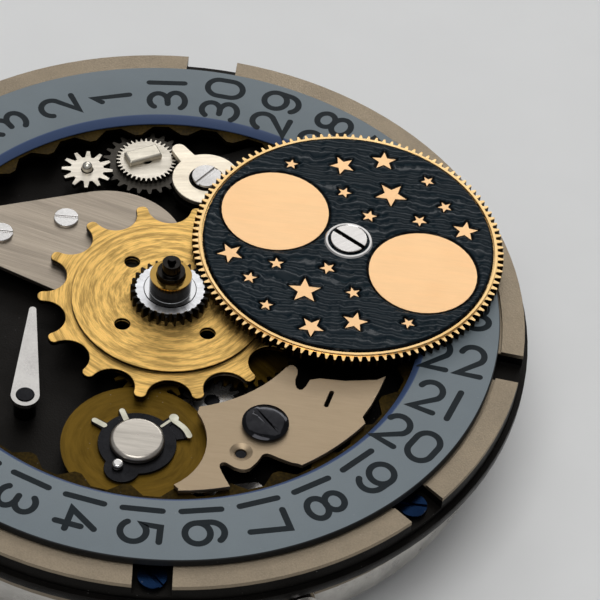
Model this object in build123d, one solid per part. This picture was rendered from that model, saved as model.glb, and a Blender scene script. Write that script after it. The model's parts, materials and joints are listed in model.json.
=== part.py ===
from build123d import *
import math
import os

# Moon phase watch movement without dial, hands or case. Millimetres.
# Origin: on the movement axis, in the plane of the casing flange's seat.
# +Z points to the dial side, +X to three o'clock (the winding stem), +Y to twelve o'clock.

# Main plate
casing_radius = 12.8
flange_width = 0.20
flange_thickness = 0.35
body_step_width = 0.20
rim_top = 0.77
plate_under_height = -1.10
calendar_floor_height = -0.15
calendar_radius = 9.45
ring_seat_height = 0.67
ring_seat_radius = 11.99
overrun_length = 0.5
running_clearance = 0.03
level_gap = 0.04
wall_gap = 0.15

# Date ring and its teeth
date_ring_outer_radius = 11.88
date_ring_inner_radius = 9.07
date_ring_top = 1.00
date_ring_gap = 0.03
date_tooth_tip_radius = 8.55
date_tooth_root_radius = 8.95
date_teeth_outer_radius = 9.32
date_teeth_thickness = 0.18
date_teeth = 31
date_17_angle = -1.0

# Rim notches: angle, and width as a share of the casing radius
notch_angles_width_share = ((152.0, 0.147), (57.0, 0.10), (23.0, 0.12), (-23.0, 0.105), (-90.0, 0.12), (-152.0, 0.12))
notch_floor_height = 0.25
notch_length = 1.35
dial_screw_angles = (23.0, -23.0, -152.0)
dial_screw_radius = 0.50
dial_screw_height = 0.20
dial_screw_shank_radius = 0.25
dial_screw_depth = 0.45
dial_screw_inset_length = 0.68
slot_width = 0.16
slot_depth = 0.07

# Centre stack
hour_pipe_radius = 0.75
hour_pipe_top = 2.14
hour_shoulder_radius = 0.92
cannon_radius = 0.50
cannon_shoulder_height = 2.36
cannon_seat_radius = 0.33
cannon_top = 2.80
seconds_arbor_radius = 0.125
seconds_tip_height = 2.98
centre_arbor_radius = 0.34
centre_bore_radius = 0.17

# Motion works below the star wheel
cannon_teeth = 12
minute_teeth = 36
minute_pinion_teeth = 10
hour_teeth = 40
minute_centre_distance = 2.80
minute_angle = 45.0
minute_wheel_bottom = -0.10
motion_wheel_thickness = 0.15
hour_wheel_bottom = 0.10
hour_wheel_thickness = 0.18
post_radius = 0.25
post_shoulder_width = 0.10
idler_post_radius = 0.15
setting_teeth = 16
setting_wheel_angle = -40.0

# Date train: gear on the hour wheel, idler and drive wheel in one line
date_module_length = 0.15
hour_date_teeth = 16
idler_teeth = 20
drive_teeth = 32
date_train_angle = -30.0
date_train_bottom = 0.32
date_train_thickness = 0.16
date_gear_thickness = 0.10
drive_disc_radius = 2.64
drive_boss_radius = 0.95
drive_boss_top = 0.90
drive_post_radius = 0.40
finger_thickness = 0.12
finger_hub_radius = 1.36
finger_reach_length = 1.88
finger_arm_width = 0.26
# Arms of the finger: angle, then reach as a share of the finger's own
finger_arm_angles_reach_share = ((112.0, 1.0), (180.0, 0.87), (-143.5, 1.0))
finger_blade_sweep_angle = 33.0
finger_lobe_angle = -45.0
finger_lobe_radius = 0.62
finger_lobe_place_radius = 1.24
finger_pin_angle = -52.0
finger_pin_place_radius = 1.26
finger_pin_radius = 0.20
finger_pin_top = 0.84
finger_spring_width = 0.16

# Moon star wheel with 14 teeth, one step a day
star_teeth = 14
star_tip_radius = 4.71
star_scallop_radius = 0.80
star_scallop_place_radius = 4.60
star_tip_round_radius = 0.20
star_bottom = 0.62
star_thickness = 0.21
star_phase = 18.0
star_disc_radius = 3.51
star_disc_thickness = 0.14
star_hole_radius = 0.28
star_hole_place_radius = 2.15
star_hole_phase = 18.4

# Moon pinion and moon disc
moon_distance = 6.90
moon_pinion_teeth = 28
moon_disc_teeth = 118
moon_pinion_height = 0.45
moon_disc_bottom = 1.18
moon_disc_thickness = 0.32
moon_rim_inner_radius = 5.34
moon_rim_outer_radius = 5.44
moon_rim_height = 0.08
moon_field_thickness = 0.05
moon_radius = 1.96
moon_groove_width = 0.12
moon_place_radius = 3.00
moon_angle = 41.0
moon_height = 0.11
star_height = 0.09
moon_collar_radius = 0.88
moon_collar_height = 0.12
moon_screw_radius = 0.66
moon_screw_height = 0.14
moon_screw_slot_angle = 30.0
moon_post_radius = 0.45
moon_post_foot_radius = 0.90
moon_post_foot_height = 0.30

# Gold stars on half of the moon disc: angle from the disc centre and turn of the star, then
# place and size as shares of the field radius. The other half repeats them.
star_angles_place_size_share = (
    (186.5, 5.0, 0.816, 0.047), (160.7, 37.0, 0.731, 0.087), (140.1, 11.0, 0.834, 0.087),
    (116.0, 41.0, 0.832, 0.047), (161.0, 63.0, 0.469, 0.050), (125.4, 48.0, 0.557, 0.112),
    (97.4, 38.0, 0.768, 0.050), (128.3, 0.0, 0.292, 0.054), (93.5, 49.0, 0.543, 0.052),
    (79.2, 4.0, 0.818, 0.089),
)
star_waist_share = 0.42

# Calendar cover plate on the right, its screw and its steady pin
cover_bottom = 0.72
cover_thickness = 0.18
cover_inner_radius = 5.15
cover_outer_radius = 8.81
cover_start_angle = -20.5
cover_end_angle = 46.5
# Outline of the plate between its two round edges: angle, then place as a share of the outer radius
cover_edge_angle_radius_share = (
    (-19.5, 0.970), (-9.2, 0.595), (-5.0, 0.500), (32.5, 0.500), (32.7, 0.588), (34.2, 0.590), (35.0, 0.600),
    (34.9, 0.615), (34.0, 0.630), (32.5, 0.641), (29.9, 0.652), (28.2, 0.668), (27.3, 0.683), (27.2, 0.698),
    (28.0, 0.706), (29.9, 0.705), (32.9, 0.697), (35.4, 0.724), (38.8, 0.814), (43.5, 0.923), (45.6, 0.947),
    (40.5, 0.955), (35.5, 0.965), (31.3, 0.972), (30.3, 0.996), (29.4, 1.050), (20.0, 1.120), (12.0, 1.050),
    (10.6, 0.999), (10.0, 0.985), (8.9, 0.969), (6.9, 0.926), (5.6, 0.897), (5.0, 0.889), (4.3, 0.886),
    (3.5, 0.889), (2.8, 0.898), (1.3, 0.915), (-0.8, 0.933), (-2.0, 0.934), (-3.1, 0.928), (-4.4, 0.912),
    (-6.0, 0.882), (-6.5, 0.878), (-7.1, 0.879), (-7.7, 0.886), (-7.9, 0.900), (-7.7, 0.929), (-7.3, 0.966),
    (-6.9, 1.000), (-6.8, 1.050), (-13.0, 1.080), (-18.6, 1.020), (-18.5, 0.990),
)
cover_screw_x = 6.60
cover_screw_y = 1.08
cover_screw_radius = 0.82
cover_screw_height = 0.26
cover_screw_dome_height = 0.10
cover_screw_shank_radius = 0.40
cover_pillar_radius = 0.72
cover_drive_cut_radius = 2.39
cover_screw_slot_angle = 14.0
cover_pin_x = 7.45
cover_pin_y = -0.15
cover_pin_radius = 0.20
cover_pin_sink_radius = 0.40
cover_rear_pillar_radius = 0.40
cover_rear_pillar_place_radius = 8.00
cover_rear_pillar_angle = 33.0

# Calendar bridge at the left, corrector works
bridge_bottom = 0.36
bridge_thickness = 0.18
bridge_lobe_radius = 2.85
bridge_lobe_x = -3.40
bridge_lobe_y = -1.10
bridge_tail_radius = 1.40
bridge_tail_x = -5.20
bridge_tail_y = -4.60
bridge_axis_cut_radius = 1.60
bridge_screw_radius = 0.45
bridge_screw_height = 0.12
bridge_foot_radius = 0.55
corrector_x = -7.15
corrector_y = 1.75
corrector_teeth = 36
corrector_radius = 1.12
corrector_lower_teeth = 24
corrector_lower_radius = 1.62
corrector_bottom = 0.18
corrector_lower_thickness = 0.20
corrector_upper_height = 0.18
corrector_dog_width = 0.60
corrector_dog_length = 1.30
corrector_dog_height = 0.24
corrector_dog_angle = 93.0
corrector_star_x = -7.25
corrector_star_y = -0.55
corrector_star_teeth = 12
corrector_star_radius = 0.95
corrector_star_bottom = 0.46
corrector_star_thickness = 0.20
corrector_post_radius = 0.20
corrector_dome_top = 0.98
lever_x = -5.30
lever_y = 3.45
lever_ring_radius = 1.28
lever_tip_x = -7.05
lever_tip_y = 3.02
lever_tip_radius = 0.28
lever_bottom = 0.62
lever_thickness = 0.20
lever_screw_radius = 0.55
lever_screw_height = 0.16
lever_screw_slot_angle = -62.0
corrector_plate_bottom = 0.12
corrector_plate_thickness = 0.24

# Date jumper, moon jumper
jumper_thickness = 0.18
date_jumper_x = -3.80
date_jumper_y = -6.30
date_jumper_tip_angle = -88.0
date_jumper_gap = 0.06
jumper_post_radius = 0.30
jumper_arm_width = 0.50
moon_jumper_x = 2.60
moon_jumper_y = -6.30
moon_jumper_tip_angle = -103.0

# Winding and setting works
stem_level = -1.10
stem_radius = 0.61
stem_reach_length = 2.00
stem_thread_radius = 0.45
stem_thread_length = 1.80
stem_inner_end_x = 5.20
stem_pilot_length = 0.70
stem_pilot_radius = 0.22
stem_square_width = 0.44
stem_groove_start_x = 8.30
stem_groove_width = 0.40
stem_groove_radius = 0.26
stem_travel_length = 0.45
winding_pinion_start_x = 7.28
winding_pinion_length = 0.80
winding_pinion_radius = 0.74
winding_teeth = 14
clutch_start_x = 6.20
clutch_length = 0.98
clutch_radius = 0.70
clutch_groove_radius = 0.48
clutch_groove_width = 0.30
pocket_half_width = 0.84
pocket_start_x = 5.45
pocket_end_x = 8.60
pocket_top = -0.30
stem_bore_clearance = 0.05
setting_lever_x = 8.30
setting_lever_y = -2.00
setting_lever_bottom = -0.10
setting_lever_thickness = 0.15
setting_stud_radius = 0.15
yoke_x = 7.30
yoke_y = -3.40
yoke_bottom = 0.09
yoke_thickness = 0.13
yoke_arm_width = 0.42
yoke_stud_radius = 0.11

# Train side
bridge_under_height = -2.50
train_bridge_thickness = 0.40
bridge_radius = 12.20
bridge_wall_inner_radius = 10.90
bridge_gap = 0.12
bridge_split_angle = 60.0
bridge_split_offset_length = 1.35
pivot_radius = 0.10
pivot_clearance = 0.02
pivot_length = 0.22
arbor_radius = 0.16
slim_arbor_radius = 0.14
end_shake_gap = 0.03
jewel_radius = 0.42
jewel_thickness = 0.16
train_wheel_thickness = 0.12
barrel_distance = 5.60
barrel_angle = 60.0
barrel_teeth = 70
centre_pinion_teeth = 10
barrel_drum_radius = 4.55
barrel_top = -1.40
barrel_bottom = -2.20
barrel_wall_thickness = 0.22
barrel_lid_thickness = 0.14
barrel_teeth_level = -1.62
barrel_teeth_thickness = 0.17
barrel_arbor_radius = 0.70
barrel_core_radius = 1.20
centre_wheel_level = -1.32
centre_wheel_teeth = 45
third_pinion_teeth = 6
third_distance = 3.60
third_angle = 180.0
third_wheel_level = -1.87
third_wheel_teeth = 48
seconds_pinion_teeth = 6
seconds_wheel_level = -2.38
seconds_wheel_teeth = 72
escape_pinion_teeth = 6
escape_distance = 3.54
escape_angle = -75.0
escape_wheel_level = -1.60
escape_tip_radius = 1.80
escape_teeth = 20
pallet_distance = 2.35
balance_distance = 7.90
balance_angle = -95.0
pallet_fork_width = 0.26
pallet_thickness = 0.15
stone_length = 0.42
stone_width = 0.14
stone_gap = 0.16
fork_reach_gap = 0.42
fork_slot_width = 0.18
fork_slot_depth = 0.20
fork_horn_width = 0.44
fork_horn_length = 0.32
pallet_bridge_level = -1.92
pallet_bridge_thickness = 0.16
balance_rim_outer_radius = 3.90
balance_rim_width = 0.42
balance_rim_bottom = -2.30
balance_rim_top = -2.05
balance_arm_width = 0.40
balance_arm_thickness = 0.12
balance_opening_radius = 4.50
balance_staff_radius = 0.16
roller_radius = 0.50
roller_level = -1.78
roller_thickness = 0.10
impulse_place_radius = 0.27
impulse_radius = 0.06
impulse_length = 0.14
hairspring_half_turns = 9
hairspring_pitch_length = 0.50
hairspring_width = 0.06
hairspring_height = 0.10
hairspring_level = -2.52
collet_radius = 0.34
cock_under_height = -2.64
cock_thickness = 0.26
cock_head_radius = 1.15
cock_foot_x = -7.10
cock_foot_y = -6.90
cock_foot_radius = 1.75
ratchet_teeth = 34
crown_teeth = 20
crown_x = 8.30
crown_y = 1.45
crown_hub_radius = 1.60
crown_hub_gap = 0.04
crown_hole_gap = 0.10
winding_wheel_gap = 0.02
winding_wheel_thickness = 0.16
ratchet_screw_radius = 0.90
ratchet_screw_height = 0.14
core_radius = 0.50
core_head_radius = 0.95
core_head_height = 0.12
click_direction = 140.0
click_radius = 0.60
click_gap = 0.06
bridge_screw_head_radius = 0.65
bridge_screw_place_radius = 11.40
bridge_screw_sink_depth = 0.20
bridge_screw_shank_radius = 0.35
bridge_screw_bite_depth = 0.60

# Rotor
bearing_radius = 1.20
bearing_height = 0.44
bearing_stud_radius = 0.60
bearing_stud_height = 0.30
bearing_cap_radius = 0.95
bearing_cap_height = 0.12
rotor_level = -3.52
rotor_thickness = 0.16
rotor_hub_radius = 2.10
rotor_plate_radius = 10.20
rotor_weight_inner_radius = 9.90
rotor_weight_outer_radius = 12.30
rotor_weight_top = -3.16
rotor_bottom = -4.05
rotor_half_angle = 86.0
rotor_slot_radii = (3.40, 5.80, 6.80, 9.20)
rotor_slot_start_angle = 7.0
rotor_slot_end_angle = 75.0
rotor_rest_angle = -90.0

# Tooth form, as shares of the module and of the tooth pitch
addendum_share = 1.0
dedendum_share = 1.25
foot_share = 0.60
crest_share = 0.22


# Levels and places that follow from the sizes above
flange_radius = casing_radius + flange_width
body_radius = casing_radius - body_step_width
notch_inner_radius = casing_radius - notch_length
dial_screw_place_radius = casing_radius - dial_screw_inset_length
stem_end_x = casing_radius + stem_reach_length
motion_module = 2 * minute_centre_distance / (cannon_teeth + minute_teeth)
setting_stud_x = stem_groove_start_x + stem_groove_width / 2
hairspring_inner_radius = collet_radius + hairspring_width / 2
winding_pinion_low_height = stem_level - winding_pinion_radius
crown_hub_end_height = winding_pinion_low_height - crown_hub_gap
date_ring_bottom = ring_seat_height + date_ring_gap
date_teeth_bottom = date_ring_bottom - date_teeth_thickness
motion_wheel_top = minute_wheel_bottom + motion_wheel_thickness
hour_wheel_top = hour_wheel_bottom + hour_wheel_thickness
date_train_top = date_train_bottom + date_train_thickness
drive_gear_top = date_train_bottom + date_gear_thickness
idler_top = drive_gear_top - level_gap / 2
star_top = star_bottom + star_thickness
star_disc_top = star_top + star_disc_thickness
moon_pinion_top = star_disc_top + moon_pinion_height
hour_shoulder_top = moon_pinion_top + level_gap / 2
moon_disc_top = moon_disc_bottom + moon_disc_thickness
moon_field_top = moon_disc_top + moon_field_thickness
moon_module = 2 * moon_distance / (moon_pinion_teeth + moon_disc_teeth)
cover_top = cover_bottom + cover_thickness
bridge_top = bridge_bottom + bridge_thickness
corrector_lower_top = corrector_bottom + corrector_lower_thickness
corrector_top = corrector_lower_top + corrector_upper_height
lever_top = lever_bottom + lever_thickness
train_bridge_out_height = bridge_under_height - train_bridge_thickness
winding_wheel_top = train_bridge_out_height - winding_wheel_gap
winding_wheel_bottom = winding_wheel_top - winding_wheel_thickness
barrel_module = 2 * barrel_distance / (barrel_teeth + centre_pinion_teeth)
centre_module = 2 * third_distance / (centre_wheel_teeth + third_pinion_teeth)
third_module = 2 * third_distance / (third_wheel_teeth + seconds_pinion_teeth)
seconds_module = 2 * escape_distance / (seconds_wheel_teeth + escape_pinion_teeth)
bearing_bottom = train_bridge_out_height - bearing_height


def polar(radius, angle):
    return radius * math.cos(math.radians(angle)), radius * math.sin(math.radians(angle))


def pitch_radius(teeth, module):
    return teeth * module / 2


drive_distance = date_module_length * (hour_date_teeth + idler_teeth * 2 + drive_teeth) / 2
drive_x, drive_y = polar(drive_distance, date_train_angle)
idler_x, idler_y = polar(date_module_length * (hour_date_teeth + idler_teeth) / 2, date_train_angle)
minute_x, minute_y = polar(minute_centre_distance, minute_angle)
setting_distance = motion_module * (minute_teeth + setting_teeth) / 2
setting_x = minute_x + polar(setting_distance, setting_wheel_angle)[0]
setting_y = minute_y + polar(setting_distance, setting_wheel_angle)[1]
barrel_x, barrel_y = polar(barrel_distance, barrel_angle)
third_x, third_y = polar(third_distance, third_angle)
escape_x, escape_y = polar(escape_distance, escape_angle)
balance_x, balance_y = polar(balance_distance, balance_angle)
fork_angle = math.degrees(math.atan2(balance_y - escape_y, balance_x - escape_x))
pallet_x = escape_x + polar(pallet_distance, fork_angle)[0]
pallet_y = escape_y + polar(pallet_distance, fork_angle)[1]
crown_distance = math.hypot(crown_x - barrel_x, crown_y - barrel_y)
crown_angle = math.degrees(math.atan2(crown_y - barrel_y, crown_x - barrel_x))
winding_module = 2 * crown_distance / (ratchet_teeth + crown_teeth)
ratchet_tip_radius = winding_module * (ratchet_teeth / 2 + addendum_share)
click_x = barrel_x + polar(ratchet_tip_radius + click_gap + click_radius + wall_gap, click_direction)[0]
click_y = barrel_y + polar(ratchet_tip_radius + click_gap + click_radius + wall_gap, click_direction)[1]


def mesh_phase(direction, phase, teeth, other_teeth):
    """Phase of a gear that meshes with one of known phase, seen along direction."""
    share = (direction - phase) * teeth / 360
    return direction + 180 + (share + 0.5) * 360 / other_teeth


def column(radius, low, high, x=0, y=0):
    align = (Align.CENTER, Align.CENTER, Align.MIN)
    return Pos(x, y, low) * Cylinder(radius, high - low, align=align)


def tube(outer, inner, low, high, x=0, y=0):
    return column(outer, low, high, x, y) - column(inner, low - overrun_length, high + overrun_length, x, y)


def slab(face, low, high):
    return extrude(Pos(0, 0, low) * face, amount=high - low, dir=(0, 0, 1))


def block(x_low, x_high, y_low, y_high, low, high):
    size = Box(x_high - x_low, y_high - y_low, high - low, align=(Align.MIN, Align.MIN, Align.MIN))
    return Pos(x_low, y_low, low) * size


def link_face(x, y, radius, other_x, other_y, other_radius):
    """Outline of a lever arm: two round ends joined by their tangents."""
    ends = Pos(x, y) * Circle(radius) + Pos(other_x, other_y) * Circle(other_radius)
    return make_hull(ends.edges())


def gear_face(teeth, tip, root, phase, foot=foot_share, crest=crest_share):
    points = []
    pitch = 360 / teeth
    for tooth in range(teeth):
        middle = phase + tooth * pitch
        points.append(polar(root, middle - foot / 2 * pitch))
        points.append(polar(tip, middle - crest / 2 * pitch))
        points.append(polar(tip, middle + crest / 2 * pitch))
        points.append(polar(root, middle + foot / 2 * pitch))
    return make_face(Polyline(*points, close=True))


def wheel(teeth, module, low, high, phase, x=0, y=0):
    radius = pitch_radius(teeth, module)
    face = gear_face(teeth, radius + addendum_share * module, radius - dedendum_share * module, phase)
    return Pos(x, y) * slab(face, low, high)


def spoked(solid, outer, inner, spokes, width, low, high, phase, x=0, y=0):
    """Opens a wheel between its hub and rim, leaving straight spokes."""
    window = Circle(outer) - Circle(inner)
    for spoke in range(spokes):
        turn = Rot(0, 0, phase + spoke * 360 / spokes)
        window -= turn * Pos(outer / 2, 0) * Rectangle(outer * 1.1, width)
    return solid - Pos(x, y) * slab(window, low - overrun_length, high + overrun_length)


def slotted_head(radius, low, high, angle, x, y):
    """Screw head with its driver slot in the face that points away from low."""
    head = column(radius, min(low, high), max(low, high), x, y)
    deep = high - slot_depth if high > low else high + slot_depth
    far = high + overrun_length if high > low else high - overrun_length
    cut = Box(2 * (radius + overrun_length), slot_width, abs(far - deep))
    return head - Pos(x, y, (far + deep) / 2) * Rot(0, 0, angle) * cut


# Dial side, fixed pieces
def rim_notches():
    cuts = None
    for angle, width_share in notch_angles_width_share:
        width = width_share * casing_radius
        length = flange_radius + overrun_length - notch_inner_radius
        height = rim_top + overrun_length - notch_floor_height
        box = Box(length, width, height, align=(Align.MIN, Align.CENTER, Align.MIN))
        cut = Rot(0, 0, angle) * Pos(notch_inner_radius, 0, notch_floor_height) * box
        cuts = cut if cuts is None else cuts + cut
    return cuts


def main_plate():
    plate = column(body_radius, plate_under_height, -flange_thickness)
    plate += column(flange_radius, -flange_thickness, 0)
    plate += column(casing_radius, 0, rim_top)
    plate -= column(ring_seat_radius, ring_seat_height, rim_top + overrun_length)
    plate -= column(calendar_radius, calendar_floor_height, rim_top + overrun_length)
    plate -= rim_notches()
    # Feet for the pieces screwed to the calendar side
    plate += column(cover_pillar_radius, calendar_floor_height, cover_bottom, cover_screw_x, cover_screw_y)
    rear_x, rear_y = polar(cover_rear_pillar_place_radius, cover_rear_pillar_angle)
    plate += column(cover_rear_pillar_radius, calendar_floor_height, cover_bottom, rear_x, rear_y)
    plate += column(bridge_foot_radius, calendar_floor_height, bridge_bottom, bridge_tail_x, bridge_tail_y)
    plate += column(bridge_foot_radius, calendar_floor_height, bridge_bottom, *bridge_inner_screw())
    plate += column(lever_screw_radius, calendar_floor_height, corrector_plate_bottom, lever_x, lever_y)
    for x, y in calendar_posts():
        plate -= column(post_radius, calendar_floor_height - post_depth(), calendar_floor_height + overrun_length, x, y)
    plate -= column(moon_post_radius, calendar_floor_height - post_depth(), calendar_floor_height + overrun_length, 0, moon_distance)
    plate -= column(cover_screw_shank_radius, calendar_floor_height, cover_bottom + overrun_length, cover_screw_x, cover_screw_y)
    # Winding works between plate and bridge
    plate -= block(pocket_start_x, pocket_end_x, -pocket_half_width, pocket_half_width, plate_under_height - overrun_length, pocket_top)
    bore = Cylinder(stem_radius + stem_bore_clearance, flange_radius + overrun_length - pocket_start_x,
                    align=(Align.CENTER, Align.CENTER, Align.MIN))
    plate -= Pos(pocket_start_x, 0, stem_level) * Rot(0, 90, 0) * bore
    pilot = Cylinder(stem_pilot_radius + stem_bore_clearance, pocket_start_x, align=(Align.CENTER, Align.CENTER, Align.MIN))
    plate -= Pos(stem_inner_end_x - wall_gap, 0, stem_level) * Rot(0, 90, 0) * pilot
    plate -= setting_windows()
    # Bores of the train side
    plate -= column(centre_arbor_radius + running_clearance, plate_under_height - overrun_length, calendar_floor_height + overrun_length)
    for x, y in train_centres():
        plate -= column(pivot_radius + pivot_clearance, plate_under_height - overrun_length, plate_under_height + pivot_length + end_shake_gap, x, y)
    plate -= column(barrel_arbor_radius + running_clearance, plate_under_height - overrun_length,
                    plate_under_height + pivot_length + end_shake_gap, barrel_x, barrel_y)
    for x, y in bridge_screw_places():
        plate -= column(bridge_screw_shank_radius, plate_under_height - overrun_length, plate_under_height + bridge_screw_bite_depth, x, y)
    plate -= column(core_radius, plate_under_height - overrun_length, plate_under_height + bridge_screw_bite_depth, crown_x, crown_y)
    for angle in dial_screw_angles:
        x, y = polar(dial_screw_place_radius, angle)
        plate -= column(dial_screw_shank_radius, notch_floor_height - dial_screw_depth, notch_floor_height + overrun_length, x, y)
    return plate


def post_depth():
    return (calendar_floor_height - pocket_top) / 2 + (calendar_floor_height - plate_under_height) / 4


def calendar_posts():
    """Places of the thin posts that stand in the calendar floor."""
    return (
        (minute_x, minute_y), (setting_x, setting_y), (idler_x, idler_y),
        (corrector_star_x, corrector_star_y), (corrector_x, corrector_y),
        (date_jumper_x, date_jumper_y), (moon_jumper_x, moon_jumper_y),
        (setting_lever_x, setting_lever_y), (yoke_x, yoke_y), (drive_x, drive_y),
    )


def setting_windows():
    """Openings of the calendar floor for the studs of setting lever and yoke."""
    side = setting_stud_radius + wall_gap
    cut = block(setting_stud_x - side, setting_stud_x + stem_travel_length + side, -side, side,
                stem_level, calendar_floor_height + overrun_length)
    middle = clutch_start_x + clutch_length / 2
    side = yoke_stud_radius + wall_gap
    return cut + block(middle - stem_travel_length - side, middle + side, -side, side,
                       pocket_top - overrun_length, calendar_floor_height + overrun_length)


def lever_end_radius():
    return setting_stud_radius + wall_gap


def dial_screws():
    screws = None
    for angle in dial_screw_angles:
        x, y = polar(dial_screw_place_radius, angle)
        head = slotted_head(dial_screw_radius, notch_floor_height, notch_floor_height + dial_screw_height, angle + 40, x, y)
        screw = head + column(dial_screw_shank_radius - pivot_clearance, notch_floor_height - dial_screw_depth + level_gap,
                              notch_floor_height, x, y)
        screws = screw if screws is None else screws + screw
    return screws


def sector_face(inner, outer, start, end):
    first = CenterArc((0, 0), outer, start, end - start)
    second = CenterArc((0, 0), inner, end, start - end)
    sides = Line(first @ 1, second @ 0) + Line(second @ 1, first @ 0)
    return make_face(first + second + sides)


def cover_face():
    points = [polar(share * cover_outer_radius, angle) for angle, share in cover_edge_angle_radius_share]
    face = make_face(Polyline(*points, close=True))
    face &= sector_face(cover_inner_radius, cover_outer_radius, cover_start_angle, cover_end_angle)
    # Clearance round the date drive wheel's boss and fingers
    return face - Pos(drive_x, drive_y) * Circle(cover_drive_cut_radius)


def date_cover_plate():
    plate = slab(cover_face(), cover_bottom, cover_top)
    plate -= column(cover_screw_shank_radius + running_clearance, cover_bottom - overrun_length, cover_top + overrun_length,
                    cover_screw_x, cover_screw_y)
    plate -= column(cover_pin_radius, cover_bottom - overrun_length, cover_top + overrun_length, cover_pin_x, cover_pin_y)
    sink = Cone(cover_pin_radius, cover_pin_sink_radius, cover_thickness / 2, align=(Align.CENTER, Align.CENTER, Align.MAX))
    plate -= Pos(cover_pin_x, cover_pin_y, cover_top) * sink
    # Slit of the spring tongue
    slit_x, slit_y = polar((cover_inner_radius + cover_outer_radius) / 2 + cover_pin_radius, 30.5)
    slit = Rot(0, 0, -40) * SlotOverall(cover_pin_sink_radius * 2, cover_pin_radius * 0.8)
    plate -= Pos(slit_x, slit_y) * slab(slit, cover_bottom - overrun_length, cover_top + overrun_length)
    return plate


def date_cover_screw():
    head = slotted_head(cover_screw_radius, cover_top, cover_top + cover_screw_height, cover_screw_slot_angle,
                        cover_screw_x, cover_screw_y)
    crown = Pos(cover_screw_x, cover_screw_y, cover_top + cover_screw_height) * cover_screw_crown()
    shank = column(cover_screw_shank_radius, calendar_floor_height + level_gap, cover_top, cover_screw_x, cover_screw_y)
    return (head & crown) + shank


def cover_screw_crown():
    """Low dome that rounds the head of the cover screw."""
    ball = (cover_screw_radius ** 2 + cover_screw_dome_height ** 2) / (2 * cover_screw_dome_height)
    return Pos(0, 0, -ball) * Sphere(ball)


def bridge_inner_screw():
    return bridge_lobe_x - bridge_lobe_radius * 0.62, bridge_lobe_y - bridge_lobe_radius * 0.35


def calendar_bridge():
    face = link_face(bridge_lobe_x, bridge_lobe_y, bridge_lobe_radius, bridge_tail_x, bridge_tail_y, bridge_tail_radius)
    face -= Circle(bridge_axis_cut_radius)
    bridge = slab(face, bridge_bottom, bridge_top)
    for x, y in ((bridge_tail_x, bridge_tail_y), bridge_inner_screw()):
        bridge -= column(post_radius + running_clearance, bridge_bottom - overrun_length, bridge_top + overrun_length, x, y)
    return bridge


def calendar_screws():
    """Screws of the calendar bridge and the screw on which the corrector lever turns."""
    screws = []
    for x, y in ((bridge_tail_x, bridge_tail_y), bridge_inner_screw()):
        head = slotted_head(bridge_screw_radius, bridge_top, bridge_top + bridge_screw_height, 65, x, y)
        screws.append((head + column(post_radius, bridge_bottom, bridge_top, x, y)).solid())
    low = corrector_plate_bottom + corrector_plate_thickness
    pivot = column(lever_screw_radius, low, lever_top, lever_x, lever_y)
    head = slotted_head(lever_screw_radius, lever_top, lever_top + lever_screw_height, lever_screw_slot_angle,
                        lever_x, lever_y)
    screws.append((pivot + head).solid())
    return Compound(children=screws)


def corrector_plate():
    low, high = corrector_plate_bottom, corrector_plate_bottom + corrector_plate_thickness
    face = link_face(lever_x, lever_y, lever_ring_radius, lever_x - lever_ring_radius / 3,
                     lever_y + lever_ring_radius * 1.9, lever_ring_radius * 0.8)
    face -= Pos(corrector_x, corrector_y) * Circle(corrector_lower_radius + wall_gap)
    return slab(face, low, high)


def corrector_lever():
    face = link_face(lever_x, lever_y, lever_tip_radius * 1.5, lever_tip_x, lever_tip_y, lever_tip_radius)
    face += Pos(lever_x, lever_y) * Circle(lever_ring_radius)
    face -= Pos(lever_x, lever_y) * Circle(lever_screw_radius + running_clearance)
    return slab(face, lever_bottom, lever_top)


# Corrector works, turning pieces
def corrector_wheel():
    tip, root = corrector_lower_radius, corrector_lower_radius * 0.86
    solid = slab(gear_face(corrector_lower_teeth, tip, root, 0), corrector_bottom, corrector_lower_top)
    tip, root = corrector_radius, corrector_radius * 0.87
    solid += slab(gear_face(corrector_teeth, tip, root, 0), corrector_lower_top, corrector_top)
    solid = Pos(corrector_x, corrector_y) * solid
    return solid - column(corrector_post_radius + running_clearance, corrector_bottom - overrun_length,
                          corrector_top + overrun_length, corrector_x, corrector_y)


def corrector_dog():
    base = Box(corrector_dog_length, corrector_dog_width, corrector_dog_height,
               align=(Align.CENTER, Align.CENTER, Align.MIN))
    base = chamfer(base.edges().group_by(Axis.Z)[-1], corrector_dog_height / 4)
    place = Pos(corrector_x - corrector_dog_width / 4, corrector_y - corrector_dog_width / 8, corrector_top)
    return place * Rot(0, 0, corrector_dog_angle) * base


def corrector_star():
    points = gear_face(corrector_star_teeth, corrector_star_radius, corrector_star_radius * 0.66, 8, 0.7, 0.26)
    high = corrector_star_bottom + corrector_star_thickness
    solid = Pos(corrector_star_x, corrector_star_y) * slab(points, corrector_star_bottom, high)
    return solid - column(corrector_post_radius + running_clearance, corrector_star_bottom - overrun_length,
                          high + overrun_length, corrector_star_x, corrector_star_y)


def post(x, y, shoulder, radius, top):
    """Pin set in the floor, with a shoulder just below the piece that turns on it."""
    foot = column(post_radius - pivot_clearance / 2, calendar_floor_height - post_depth() + level_gap, calendar_floor_height, x, y)
    collar = column(radius + post_shoulder_width, calendar_floor_height, shoulder - end_shake_gap, x, y)
    return (foot + collar + column(radius, shoulder - end_shake_gap, top, x, y)).solid()


def domed_post():
    """Post of the small corrector star, rounded at the top."""
    high = corrector_dome_top - corrector_post_radius
    pin = post(corrector_star_x, corrector_star_y, corrector_star_bottom, corrector_post_radius, high)
    return (pin + Pos(corrector_star_x, corrector_star_y, high) * Sphere(corrector_post_radius)).solid()


def cover_steady_pin():
    high = cover_bottom + cover_thickness / 4
    return column(cover_pin_radius - pivot_clearance, calendar_floor_height, high, cover_pin_x, cover_pin_y).solid()


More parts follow.
